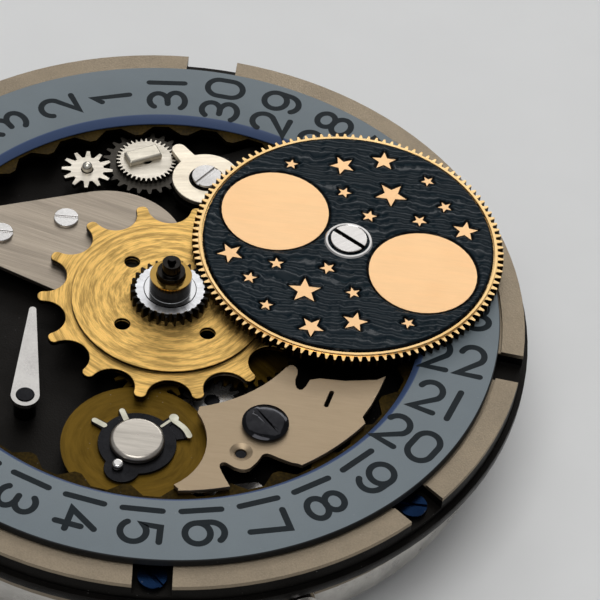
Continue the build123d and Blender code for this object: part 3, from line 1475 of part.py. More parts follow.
def rotor_plate():
    face = sector_face(rotor_hub_radius * 0.9, rotor_plate_radius, -rotor_half_angle, rotor_half_angle)
    inner_low, inner_high, outer_low, outer_high = rotor_slot_radii
    for low, high in ((inner_low, inner_high), (outer_low, outer_high)):
        face -= sector_face(low, high, rotor_slot_start_angle, rotor_slot_end_angle)
        face -= sector_face(low, high, -rotor_slot_end_angle, -rotor_slot_start_angle)
    face += Circle(rotor_hub_radius)
    face -= Circle(bearing_stud_radius + running_clearance)
    solid = slab(face, rotor_level, rotor_level + rotor_thickness)
    return Rot(0, 0, rotor_rest_angle) * solid


def rotor_weight():
    face = sector_face(rotor_weight_inner_radius, rotor_weight_outer_radius, -rotor_half_angle, rotor_half_angle)
    solid = slab(face, rotor_bottom, rotor_weight_top)
    seat = sector_face(rotor_weight_inner_radius - overrun_length, rotor_plate_radius, -rotor_half_angle, rotor_half_angle)
    solid -= slab(seat, rotor_level, rotor_level + rotor_thickness)
    return Rot(0, 0, rotor_rest_angle) * solid


SUB_PARTS = (
    main_plate, dial_screws, wheel_posts, date_ring, date_ring_teeth, date_cover_plate, date_cover_screw,
    calendar_bridge, calendar_screws, corrector_plate, corrector_lever, corrector_wheel, corrector_dog,
    corrector_star, date_idler_wheel, date_drive_wheel, date_drive_boss, date_finger, date_finger_pin,
    cannon_pinion, hour_wheel, minute_wheel, setting_wheel, moon_star_wheel, moon_star_disc, moon_pinion,
    moon_disc, moon_disc_field, moon_disc_moons, moon_disc_stars, moon_disc_screw, date_jumper, moon_jumper,
    winding_stem, winding_pinion, clutch_pinion, setting_lever, yoke, barrel_bridge, train_bridge,
    bridge_screws, jewels, barrel_drum, barrel_arbor, ratchet_wheel, crown_wheel, click, centre_wheel,
    third_wheel, seconds_wheel, escape_wheel, pallet_fork, pallet_bridge, balance_wheel, balance_staff,
    hairspring, balance_cock, rotor_bearing, rotor_plate, rotor_weight,
)


def main():
    os.makedirs("parts", exist_ok=True)
    for build in SUB_PARTS:
        export_step(build(), os.path.join("parts", build.__name__ + ".step"))


if __name__ == "__main__":
    main()
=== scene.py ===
import bpy
import bmesh
import json
import math
from mathutils import Matrix, Vector


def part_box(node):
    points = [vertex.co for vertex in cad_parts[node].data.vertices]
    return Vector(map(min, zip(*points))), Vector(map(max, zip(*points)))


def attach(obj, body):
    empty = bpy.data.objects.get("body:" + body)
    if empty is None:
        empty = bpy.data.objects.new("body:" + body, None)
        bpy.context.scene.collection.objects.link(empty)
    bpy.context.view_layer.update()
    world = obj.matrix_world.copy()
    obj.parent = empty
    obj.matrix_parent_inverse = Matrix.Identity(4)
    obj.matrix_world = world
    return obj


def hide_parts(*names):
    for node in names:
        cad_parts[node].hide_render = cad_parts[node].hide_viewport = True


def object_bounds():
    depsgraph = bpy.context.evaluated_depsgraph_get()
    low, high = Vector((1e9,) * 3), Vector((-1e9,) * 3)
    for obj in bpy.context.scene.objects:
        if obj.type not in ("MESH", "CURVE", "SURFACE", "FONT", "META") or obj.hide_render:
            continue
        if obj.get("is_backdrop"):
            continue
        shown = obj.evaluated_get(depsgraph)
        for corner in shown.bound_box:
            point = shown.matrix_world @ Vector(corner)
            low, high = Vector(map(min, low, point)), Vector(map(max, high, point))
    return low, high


bl_info = {
    "name": "Moon phase watch movement",
    "version": (1, 0, 0),
    "blender": (4, 5, 0),
    "location": "3D View > Sidebar > Movement",
    "description": "Dresses the moon phase movement: printed date ring, enamelled moon disc, grained metal",
    "category": "Object",
}

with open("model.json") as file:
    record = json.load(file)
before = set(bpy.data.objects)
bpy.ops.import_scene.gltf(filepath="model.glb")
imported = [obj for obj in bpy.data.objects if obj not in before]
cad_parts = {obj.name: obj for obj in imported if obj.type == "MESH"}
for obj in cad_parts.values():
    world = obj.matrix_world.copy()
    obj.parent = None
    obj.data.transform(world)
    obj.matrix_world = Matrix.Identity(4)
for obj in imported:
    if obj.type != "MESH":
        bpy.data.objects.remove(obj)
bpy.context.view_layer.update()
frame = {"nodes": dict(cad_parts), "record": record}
NODES = frame["nodes"]
BODIES = frame["record"]["behaviour"]["bodies"]
JOINTS = frame["record"]["behaviour"]["joints"]
MOUNTS = frame["record"]["mounts"]
# One millimetre in the scene's metres
MM = 0.001
# Corners of a mesh nearer than this are one corner, in millimetres
ONE_CORNER = 0.0005

# Widths of a date figure and of the narrow 1, where the figure is one high
FIGURE_WIDTH = 0.66
NARROW_WIDTH = 0.25
# Strokes of the figures in a box one high: points, and arcs as (x, y, across, up, from angle, to angle)
FIGURES = {
    "0": [[(0.33, 0.67, 0.33, 0.33, 180, 0), (0.33, 0.33, 0.33, 0.33, 0, -180), (0.0, 0.67)]],
    "1": [[(0.125, 0.0), (0.125, 1.0)]],
    "flag": [[(-0.05, 0.82), (0.125, 1.0), (0.125, 0.0)]],
    "2": [[(0.33, 0.69, 0.31, 0.31, 165, -38), (0.03, 0.0), (0.64, 0.0)]],
    "3": [[(0.33, 0.745, 0.29, 0.255, 150, -90), (0.20, 0.49)], [(0.33, 0.25, 0.33, 0.25, 90, -150)]],
    "4": [[(0.46, 1.0), (0.0, 0.30), (0.66, 0.30)], [(0.48, 0.0), (0.48, 0.66)]],
    "5": [[(0.60, 1.0), (0.12, 1.0), (0.08, 0.56), (0.32, 0.33, 0.33, 0.33, 122, -150)]],
    "6": [[(0.33, 0.32, 0.33, 0.32, 180, -180)], [(0.0, 0.34), (0.33, 0.66, 0.33, 0.34, 180, 38)]],
    "7": [[(0.0, 1.0), (0.62, 1.0), (0.46, 0.0)]],
    "8": [[(0.33, 0.755, 0.28, 0.245, 270, -90)], [(0.33, 0.26, 0.33, 0.26, 90, -270)]],
    "9": [[(0.33, 0.68, 0.33, 0.32, 0, 360)], [(0.66, 0.66), (0.33, 0.34, 0.33, 0.34, 0, -142)]],
}
DATES = 31
# Degrees of an arc that one straight piece of a stroke spans
ARC_STEP = 9
# Straight pieces in the round end of a stroke, and the least cosine that its corners are mitred for
END_STEPS = 6
MITRE_LIMIT = 0.45

# Painted highlights on the date finger's arms, knob and blade: width, and points as (angle, distance) about
# the drive's arbor
FINGER_HIGHLIGHTS = (
    (0.10, ((112.0, 1.14), (112.0, 1.68))),
    (0.20, ((180.0, 0.98), (180.0, 1.52))),
    (0.20, ((-143.5, 1.36), (-143.5, 1.76))),
    (0.32, ((112.5, 1.72), (111.5, 1.72))),
    (0.21, ((109.0, 1.64), (105.0, 1.66), (101.0, 1.69), (96.0, 1.74), (91.0, 1.78), (86.0, 1.81),
            (81.0, 1.83))),
)

# Height of the enamel over the moons and stars, in millimetres
ENAMEL_RISE = 0.04

# Share of a finish's tone that comes from the broad and from the fine part of its grain
BROAD_SHARE, FINE_SHARE = 0.6, 0.4
# Height of the cut stripes against the grain, and how far painted shade darkens the metal across each stripe
STRIPE_HEIGHT, STRIPE_SHADE = 6.0, 0.35
# Colour of the dust, how far it covers the finish, and how much rougher the handling marks are
DUST_COLOUR, DUST_COVER, MARK_ROUGHNESS = (0.55, 0.53, 0.50, 1), 0.35, 0.05

# Lamps: name, place in metres, width and height in metres, power in watts
LAMPS = (
    ("key softbox", (-0.345, 0.147, 0.400), 0.50, 0.50, 0.58),
    ("overhead softbox", (0.10, -0.10, 0.55), 0.35, 0.35, 1.15),
    ("low softbox", (-0.37, 0.26, 0.22), 0.34, 0.10, 0.36),
)
# Camera of the photograph: place and aim in millimetres, roll about its axis, focal length on a 36 mm sensor
CAMERA_PLACE = Vector((69.70, -29.88, 83.65))
CAMERA_AIM = Vector((1.613, 4.389, 1.0))
CAMERA_ROLL = math.radians(6.370056)
FOCAL_LENGTH = 188.2


class MovementSizes(bpy.types.PropertyGroup):
    """Sizes of the dressing, which a user may change before running the operators."""
    figure_height: bpy.props.FloatProperty(
        name="Figure height", description="Height of the date numbers along the ring",
        default=1.34 * MM, unit="LENGTH", precision=6)
    figure_stroke: bpy.props.FloatProperty(
        name="Figure stroke", description="Line width of the date numbers",
        default=0.23 * MM, unit="LENGTH", precision=6)
    figure_gap: bpy.props.FloatProperty(
        name="Figure gap", description="Gap between the two figures of a number",
        default=0.36 * MM, unit="LENGTH", precision=6)
    figure_ring: bpy.props.FloatProperty(
        name="Figure ring", description="Radius of the middle of the numbers",
        default=10.40 * MM, unit="LENGTH", precision=6)
    first_angle: bpy.props.FloatProperty(
        name="Angle of 17", description="Where number 17 stands",
        default=math.radians(-2.5), unit="ROTATION")
    lip_height: bpy.props.FloatProperty(
        name="Lip height", description="Height of the soft lip of the enamel beside each moon and star",
        default=0.016 * MM, unit="LENGTH", precision=6)
    groove_depth: bpy.props.FloatProperty(
        name="Groove depth", description="Depth of the recess round each moon and star",
        default=0.075 * MM, unit="LENGTH", precision=6)
    grid_step: bpy.props.FloatProperty(
        name="Grid step", description="Cell size of the moon disc's enamel",
        default=0.045 * MM, unit="LENGTH", precision=6)


class MovementColours(bpy.types.PropertyGroup):
    """Colours of the finishes."""
    gilt: bpy.props.FloatVectorProperty(
        name="Gilt", description="Gilt brass of the moon wheels", subtype="COLOR",
        default=(0.80, 0.50, 0.15))
    rose: bpy.props.FloatVectorProperty(
        name="Rose gold", description="Gold of the moons and stars", subtype="COLOR",
        default=(0.89, 0.575, 0.305))
    enamel: bpy.props.FloatVectorProperty(
        name="Night enamel", description="Dark ground of the moon disc", subtype="COLOR",
        default=(0.0052, 0.0125, 0.0180))
    ring: bpy.props.FloatVectorProperty(
        name="Date ring", description="Satin grey blue of the date ring", subtype="COLOR",
        default=(0.174, 0.209, 0.228))
    ink: bpy.props.FloatVectorProperty(
        name="Ink", description="Printed numbers", subtype="COLOR",
        default=(0.012, 0.018, 0.022))


# Places in the frame

def body_of(node):
    """Name of the body that carries a node."""
    return next(body for body, members in BODIES.items() if node in members)


def top_of(node):
    """Height of a node's top, in millimetres."""
    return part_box(node)[1].z / MM


def middle_of(node):
    """Where the middle of a node stands in the plane of the plate, in millimetres."""
    low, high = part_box(node)
    return (low.x + high.x) / 2 / MM, (low.y + high.y) / 2 / MM


def arbor_of(name):
    """Where the arbor of a joint stands in the plane of the plate, in millimetres."""
    joint = next(j for j in JOINTS if j["name"] == name)
    return joint["pos_m"][0] / MM, joint["pos_m"][1] / MM


# Node trees

class Web:
    """Short ways to add and join the nodes of one material or group."""

    def __init__(self, tree):
        self.tree = tree

    def add(self, kind, values=None, **settings):
        """A new node, with values for its inputs and settings of its own."""
        node = self.tree.nodes.new(kind)
        for key, value in settings.items():
            setattr(node, key, value)
        for key, value in (values or {}).items():
            self.put(node.inputs[key], value)
        return node

    def put(self, socket, value):
        """Links a socket to another one, or gives it a plain value."""
        if isinstance(value, bpy.types.NodeSocket):
            self.tree.links.new(value, socket)
        else:
            socket.default_value = value

    def calc(self, operation, a, b=None, clamp=False):
        """A number worked out from one or two others."""
        node = self.add("ShaderNodeMath", operation=operation, use_clamp=clamp)
        self.put(node.inputs[0], a)
        if b is not None:
            self.put(node.inputs[1], b)
        return node.outputs[0]

    def vector(self, operation, a, b=None):
        """A vector worked out from one or two others, or the length of one."""
        node = self.add("ShaderNodeVectorMath", operation=operation)
        self.put(node.inputs[0], a)
        if b is not None:
            self.put(node.inputs["Scale" if operation == "SCALE" else 1], b)
        return node.outputs["Value" if operation == "LENGTH" else "Vector"]

    def spread(self, value, low, high, to_low, to_high):
        """Carries the range low to high over to another range, and holds still outside it."""
        node = self.add("ShaderNodeMapRange")
        for socket, number in zip(node.inputs, (value, low, high, to_low, to_high)):
            self.put(socket, number)
        return node.outputs[0]

    def blend(self, factor, a, b):
        """Mixes two colours."""
        node = self.add("ShaderNodeMix", data_type="RGBA")
        self.put(node.inputs["Factor"], factor)
        self.put(node.inputs[6], a)
        self.put(node.inputs[7], b)
        return node.outputs[2]

    def place(self):
        """Place on the piece, in millimetres of the shared frame."""
        return self.vector("SCALE", self.add("ShaderNodeTexCoord").outputs["Object"], 1000.0)

    def place_along(self, direction):
        """Place on the piece with a direction in the plane of the plate turned onto +X."""
        turn = self.add("ShaderNodeVectorRotate", rotation_type="Z_AXIS")
        self.put(turn.inputs["Vector"], self.place())
        self.put(turn.inputs["Angle"], self.calc("MULTIPLY", direction, -1.0))
        return turn.outputs[0]


def effect(name, inputs, outputs, build):
    """A shader node group, built once."""
    tree = bpy.data.node_groups.get(name)
    if tree is None:
        tree = bpy.data.node_groups.new(name, "ShaderNodeTree")
        for label, kind, default in inputs:
            socket = tree.interface.new_socket(name=label, in_out="INPUT", socket_type=kind)
            socket.default_value = default
        for label in outputs:
            tree.interface.new_socket(name=label, in_out="OUTPUT", socket_type="NodeSocketFloat")
        web = Web(tree)
        entry, leave = web.add("NodeGroupInput"), web.add("NodeGroupOutput")
        for label, socket in build(web, entry.outputs).items():
            tree.links.new(socket, leave.inputs[label])
    return tree


def straight_grain(web, entry):
    """Lines drawn along one direction, as a brush or an emery stick leaves them."""
    place = web.place_along(entry["Direction"])
    stretch = web.add("ShaderNodeCombineXYZ")
    web.put(stretch.inputs[0], web.calc("MULTIPLY", entry["Fineness"], entry["Shortness"]))
    web.put(stretch.inputs[1], entry["Fineness"])
    web.put(stretch.inputs[2], entry["Fineness"])
    lines = web.vector("MULTIPLY", place, stretch.outputs[0])
    fine = web.add("ShaderNodeTexNoise", {"Vector": lines, "Scale": 1.0, "Detail": 4.0, "Roughness": 0.62})
    broad = web.add("ShaderNodeTexNoise", {"Vector": lines, "Scale": 0.22, "Detail": 2.0})
    return {"Height": fine.outputs["Fac"], "Tone": broad.outputs["Fac"]}


def turned_grain(web, entry):
    """Rings round a centre, as the lathe leaves them."""
    off = web.vector("SUBTRACT", web.place(), entry["Centre"])
    flat = web.vector("MULTIPLY", off, (1.0, 1.0, 0.0))
    radius = web.vector("LENGTH", flat)
    parts = web.add("ShaderNodeSeparateXYZ", {"Vector": off})
    around = web.calc("ARCTAN2", parts.outputs[1], parts.outputs[0])
    combine = web.add("ShaderNodeCombineXYZ")
    web.put(combine.inputs[0], web.calc("MULTIPLY", radius, entry["Fineness"]))
    web.put(combine.inputs[1], web.calc("MULTIPLY", web.calc("COSINE", around), entry["Length"]))
    web.put(combine.inputs[2], web.calc("MULTIPLY", web.calc("SINE", around), entry["Length"]))
    lines = combine.outputs[0]
    fine = web.add("ShaderNodeTexNoise", {"Vector": lines, "Scale": 1.0, "Detail": 3.0, "Roughness": 0.6})
    broad = web.add("ShaderNodeTexNoise", {"Vector": lines, "Scale": 0.3, "Detail": 2.0})
    return {"Height": fine.outputs["Fac"], "Tone": broad.outputs["Fac"]}


def frosted_grain(web, entry):
    """Even fine grain of raw or blasted metal."""
    place = web.place()
    fine = web.add("ShaderNodeTexNoise", {"Vector": place, "Scale": entry["Fineness"], "Detail": 3.0})
    broad = web.add("ShaderNodeTexNoise", {"Vector": place, "Scale": 0.9, "Detail": 3.0})
    return {"Height": fine.outputs["Fac"], "Tone": broad.outputs["Fac"]}


def hammered_skin(web, entry):
    """Long broken ripples of the moon disc's enamel, all along one direction, with a painted highlight along
    their edges.
    """
    place = web.place_along(entry["Direction"])
    parts = web.add("ShaderNodeSeparateXYZ", {"Vector": place})
    across = web.calc("MULTIPLY", parts.outputs[1], entry["Rows"])
    # The ripples wander by a slow bend and by a quicker, weaker one
    for stretch, strength in (((0.55, 0.70, 0.5), 2.6), ((2.6, 1.3, 1.0), 1.0)):
        bend = web.add("ShaderNodeTexNoise", {
            "Vector": web.vector("MULTIPLY", place, stretch), "Scale": 1.0, "Detail": 1.0})
        across = web.calc("ADD", across, web.calc("MULTIPLY", bend.outputs["Fac"], strength))
    row = web.calc("FRACT", across)
    crest = web.calc("SINE", web.calc("MULTIPLY", row, math.pi))
    # Painted highlight: only the edge of a ripple is lit, and only in patches
    falling, rising = web.spread(row, 0.0, entry["Width"], 1.0, 0.0), web.spread(row, 0.0, 0.05, 0.0, 1.0)
    lip = web.calc("MULTIPLY", falling, rising)
    patch = web.add("ShaderNodeTexNoise", {
        "Vector": web.vector("MULTIPLY", place, (1.1, 3.4, 1.0)), "Scale": 1.0, "Detail": 1.0})
    broken = web.calc("MULTIPLY", lip, web.spread(patch.outputs["Fac"], 0.44, 0.60, 0.0, 1.0))
    return {"Height": crest, "Tone": broken}


def dust_and_marks(web, entry):
    """Specks of dust, and faint handling marks that dull the shine."""
    place = web.place()
    specks = web.add("ShaderNodeTexVoronoi", {"Vector": place, "Scale": 3.2}, feature="F1")
    dots = web.spread(specks.outputs["Distance"], 0.05, 0.09, 1.0, 0.0)
    wide = web.add("ShaderNodeTexNoise", {"Vector": place, "Scale": 0.7, "Detail": 4.0})
    marks = web.spread(wide.outputs["Fac"], 0.42, 0.66, 0.0, 1.0)
    patchy = web.calc("MULTIPLY", dots, web.spread(wide.outputs["Fac"], 0.50, 0.62, 0.0, 1.0))
    return {"Specks": web.calc("MULTIPLY", patchy, entry["Amount"]), "Marks": marks}


def stepped_waves(web, entry):
    """Broad soft stripes cut side by side across a bridge."""
    parts = web.add("ShaderNodeSeparateXYZ", {"Vector": web.place_along(entry["Direction"])})
    step = web.calc("FRACT", web.calc("DIVIDE", parts.outputs[1], entry["Pitch"]))
    return {"Height": web.calc("MULTIPLY", step, step), "Tone": step}


FLOAT, VECTOR = "NodeSocketFloat", "NodeSocketVector"
GRAIN = ("Height", "Tone")
# Inputs of each effect with their defaults, its outputs, and the function that builds it
EFFECTS = {
    "Straight grain": (
        (("Direction", FLOAT, 0.0), ("Fineness", FLOAT, 14.0), ("Shortness", FLOAT, 0.05)),
        GRAIN, straight_grain),
    "Turned grain": (
        (("Centre", VECTOR, (0, 0, 0)), ("Fineness", FLOAT, 14.0), ("Length", FLOAT, 3.0)),
        GRAIN, turned_grain),
    "Frosted grain": ((("Fineness", FLOAT, 12.0),), GRAIN, frosted_grain),
    "Hammered skin": (
        (("Direction", FLOAT, 0.0), ("Rows", FLOAT, 2.4), ("Width", FLOAT, 0.2)),
        GRAIN, hammered_skin),
    "Dust and marks": ((("Amount", FLOAT, 0.5),), ("Specks", "Marks"), dust_and_marks),
    "Stepped waves": ((("Direction", FLOAT, 0.0), ("Pitch", FLOAT, 1.3)), GRAIN, stepped_waves),
}


def lay(web, name, **values):
    """Places one effect in a material with its own values."""
    node = web.add("ShaderNodeGroup")
    node.node_tree = effect(name, *EFFECTS[name])
    for label, value in values.items():
        web.put(node.inputs[label.capitalize()], value)
    return node.outputs


def band(web, value, low, high):
    """Mask that is one where a length in millimetres lies between two others."""
    soft = 0.006
    return web.calc("MULTIPLY", web.spread(value, low - soft, low + soft, 0.0, 1.0),
                    web.spread(value, high - soft, high + soft, 1.0, 0.0))


def height_on(web):
    """Height of the place on the piece, in millimetres."""
    return web.add("ShaderNodeSeparateXYZ", {"Vector": web.place()}).outputs[2]


def radius_about(web, centre):
    """Distance of the place from a centre in the plane of the plate, in millimetres."""
    off = web.vector("SUBTRACT", web.place(), (*centre, 0.0))
    return web.vector("LENGTH", web.vector("MULTIPLY", off, (1.0, 1.0, 0.0)))


def finish(name, colour, dark, rough, grain, depth, metallic=1.0, coat=0.0, specular=0.5, dust=0.5,
           waves=None, levels=(), rings=(), tones=(0.35, 0.65)):
    """One finish. colour and dark are its light and deep tones, which meet between the two tones of the
    grain, rough its two roughnesses, grain the effect and its values, and depth the height of that grain.
    levels are (from, to, colour) in height, and rings (centre, from, to, colour) about a centre. Lengths are
    in millimetres."""
    material = bpy.data.materials.get(name)
    if material:
        return material
    material = bpy.data.materials.new(name)
    material.use_nodes = True
    web = Web(material.node_tree)
    shader = material.node_tree.nodes["Principled BSDF"]
    shader.inputs["Metallic"].default_value = metallic
    shader.inputs["Coat Weight"].default_value = coat
    shader.inputs["Coat Roughness"].default_value = 0.12
    shader.inputs["Specular IOR Level"].default_value = specular
    effect_name, effect_values = grain
    lines = lay(web, effect_name, **effect_values)
    marks = lay(web, "Dust and marks", amount=dust)
    tone = web.calc("ADD", web.calc("MULTIPLY", lines["Tone"], BROAD_SHARE),
                    web.calc("MULTIPLY", lines["Height"], FINE_SHARE))
    base = web.blend(web.spread(tone, *tones, 0.0, 1.0), (*dark, 1), (*colour, 1))
    height = lines["Height"]
    if waves:
        stripes = lay(web, "Stepped waves", **waves)
        height = web.calc("ADD", web.calc("MULTIPLY", stripes["Height"], STRIPE_HEIGHT), height)
        # Painted shade darkens each stripe across its width
        base = web.blend(web.spread(stripes["Tone"], 0.0, 1.0, 0.0, STRIPE_SHADE), base, (*dark, 1))
    # Levels and rings tint bands of a piece; most of them hold painted shade and painted highlights
    for low, high, tint in levels:
        base = web.blend(band(web, height_on(web), low, high), base, (*tint, 1))
    for centre, low, high, tint in rings:
        base = web.blend(band(web, radius_about(web, centre), low, high), base, (*tint, 1))
    base = web.blend(web.calc("MULTIPLY", marks["Specks"], DUST_COVER), base, DUST_COLOUR)
    web.put(shader.inputs["Base Color"], base)
    worn = web.calc("ADD", web.spread(lines["Tone"], 0.3, 0.7, *rough),
                    web.calc("MULTIPLY", marks["Marks"], MARK_ROUGHNESS), clamp=True)
    web.put(shader.inputs["Roughness"], worn)
    bump = web.add("ShaderNodeBump", {"Strength": 1.0, "Distance": depth * MM})
    web.put(bump.inputs["Height"], height)
    web.put(shader.inputs["Normal"], bump.outputs[0])
    return material


def wear(obj, material):
    """Gives a new piece its one finish."""
    obj.data.materials.clear()
    obj.data.materials.append(material)


def dress(node, material):
    """Gives a CAD node its finish in its own material slots."""
    obj = NODES[node]
    if not obj.material_slots:
        obj.data.materials.append(material)
    for slot in obj.material_slots:
        slot.material = material


# Meshes

def mesh_piece(name, points, faces, material, body, node=None):
    """A piece from points in metres. It rides a body, and replaces a CAD node where one is given."""
    mesh = bpy.data.meshes.new(name)
    mesh.from_pydata([Vector(p) for p in points], [], faces)
    mesh.validate()
    obj = bpy.data.objects.new(name, mesh)
    bpy.context.scene.collection.objects.link(obj)
    wear(obj, material)
    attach(obj, body)
    if node:
        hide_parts(node)
    return obj


def face_up(obj):
    """Turns the faces of a flat mesh so that all look along +Z."""
    edit = bmesh.new()
    edit.from_mesh(obj.data)
    edit.normal_update()
    for face in edit.faces:
        if face.normal.z < 0:
            face.normal_flip()
    edit.to_mesh(obj.data)
    edit.free()


def thicken(obj, label, thickness):
    """Gives a flat mesh a thickness in millimetres below its face."""
    thick = obj.modifiers.new(label, "SOLIDIFY")
    thick.thickness = thickness * MM
    thick.offset = -1


def smooth(obj, degrees):
    """Shades a mesh smooth, apart from edges that turn by more than some degrees."""
    obj.data.polygons.foreach_set("use_smooth", [True] * len(obj.data.polygons))
    obj.data.set_sharp_from_angle(angle=math.radians(degrees))


def eased(node, width):
    """Rounds the cut edges of a CAD node with modifiers; its own mesh stays as it is."""
    flat_within, cut_from = 0.6, 32
    obj = NODES[node]
    weld = obj.modifiers.new("join", "WELD")
    weld.merge_threshold = ONE_CORNER * MM
    flat = obj.modifiers.new("flat faces", "DECIMATE")
    flat.decimate_type = "DISSOLVE"
    flat.angle_limit = math.radians(flat_within)
    edge = obj.modifiers.new("eased edges", "BEVEL")
    edge.width = width * MM
    edge.segments = 2
    edge.limit_method = "ANGLE"
    edge.angle_limit = math.radians(cut_from)
    edge.use_clamp_overlap = True
    edge.harden_normals = True


def lathe(name, profile, material, body, node=None, centre=(0, 0), steps=360):
    """A turned piece: profile is (radius, height) in millimetres, closed."""
    points, faces = [], []
    for i in range(steps):
        a = 2 * math.pi * i / steps
        for radius, height in profile:
            x, y = centre[0] + radius * math.cos(a), centre[1] + radius * math.sin(a)
            points.append((x * MM, y * MM, height * MM))
    n = len(profile)
    for i in range(steps):
        j = (i + 1) % steps
        for k in range(n):
            m = (k + 1) % n
            faces.append((i * n + k, j * n + k, j * n + m, i * n + m))
    obj = mesh_piece(name, points, faces, material, body, node)
    smooth(obj, 20)
    return obj


def stroke_points(items):
    """Follows points and arcs of one stroke."""
    path = []
    for item in items:
        if len(item) == 2:
            path.append(Vector(item))
            continue
        x, y, across, up, start, end = item
        steps = max(4, int(abs(end - start) / ARC_STEP))
        for i in range(steps + 1):
            a = math.radians(start + (end - start) * i / steps)
            path.append(Vector((x + across * math.cos(a), y + up * math.sin(a))))
    return [p for i, p in enumerate(path) if i == 0 or (p - path[i - 1]).length > 1e-4]


def ribbon(path, width):
    """Flat stroke of even width with round ends, as quads and end fans in the plane."""
    closed = (path[0] - path[-1]).length < width * 0.01
    if closed:
        path = path[:-1]
    n, sides = len(path), []
    for i, p in enumerate(path):
        before = path[i - 1] if closed or i else p
        after = path[(i + 1) % n] if closed or i < n - 1 else p
        a = (p - before).normalized() if (p - before).length else (after - p).normalized()
        b = (after - p).normalized() if (after - p).length else a
        mid = (a + b).normalized() if (a + b).length > 1e-6 else a
        reach = width / 2 / max(MITRE_LIMIT, mid.dot(a))
        side = Vector((-mid.y, mid.x)) * reach
        sides.append((p + side, p - side))
    points = [q for pair in sides for q in pair]
    faces = []
    for i in range(n if closed else n - 1):
        j = (i + 1) % n
        faces.append((2 * i, 2 * i + 1, 2 * j + 1, 2 * j))
    ends = [] if closed else [(0, 1), (n - 1, n - 2)]
    for end, other in ends:
        out = (path[end] - path[other]).normalized()
        start = math.atan2(out.y, out.x) - math.pi / 2
        centre = len(points)
        points.append(path[end])
        for k in range(END_STEPS + 1):
            a = start + math.pi * k / END_STEPS
            points.append(path[end] + Vector((math.cos(a), math.sin(a))) * width / 2)
        faces += [(centre, centre + 1 + k, centre + 2 + k) for k in range(END_STEPS)]
    return points, faces


def add_stroke(points, faces, path, width, spot):
    """Adds one ribbon to a growing mesh; spot gives the place of each of its points."""
    flat, quads = ribbon(path, width)
    base = len(points)
    points += [spot(p) for p in flat]
    faces += [tuple(base + k for k in face) for face in quads]


def outlines(node):
    """Each solid of a node at its highest level: middle, points in order round it, height of the level."""
    edit = bmesh.new()
    edit.from_mesh(NODES[node].data)
    bmesh.ops.remove_doubles(edit, verts=edit.verts, dist=ONE_CORNER * MM)
    edit.verts.ensure_lookup_table()
    seen, found = set(), []
    for first in edit.verts:
        if first.index in seen:
            continue
        solid, ahead = [], [first]
        seen.add(first.index)
        while ahead:
            corner = ahead.pop()
            solid.append(corner.co.copy())
            for edge in corner.link_edges:
                other = edge.other_vert(corner)
                if other.index not in seen:
                    seen.add(other.index)
                    ahead.append(other)
        top = max(c.z for c in solid)
        ring = [c.xy / MM for c in solid if abs(c.z - top) < 0.002 * MM]
        middle = sum(ring, Vector((0, 0))) / len(ring)
        ring.sort(key=lambda c: math.atan2(c.y - middle.y, c.x - middle.x))
        found.append((middle, ring, top))
    edit.free()
    return found


def away_from(point, ring):
    """Distance of a point from a closed outline, in millimetres."""
    gaps = []
    for i, a in enumerate(ring):
        side = ring[i - 1] - a
        t = max(0, min(1, (point - a).dot(side) / max(1e-12, side.length_squared)))
        gaps.append((point - a - side * t).length)
    return min(gaps)


def inside(point, ring):
    """True where a point lies within a closed outline."""
    odd = False
    for i, a in enumerate(ring):
        b = ring[i - 1]
        if (a.y > point.y) != (b.y > point.y):
            odd ^= point.x < a.x + (point.y - a.y) * (b.x - a.x) / (b.y - a.y)
    return odd


# Finishes

def straight(direction, fineness, **more):
    return "Straight grain", dict(direction=math.radians(direction), fineness=fineness, **more)


def turned(centre, fineness, **more):
    return "Turned grain", dict(centre=(*centre, 0.0), fineness=fineness, **more)


def frosted(fineness):
    return "Frosted grain", dict(fineness=fineness)


def shade(colour, factor):
    return tuple(value * factor for value in colour)


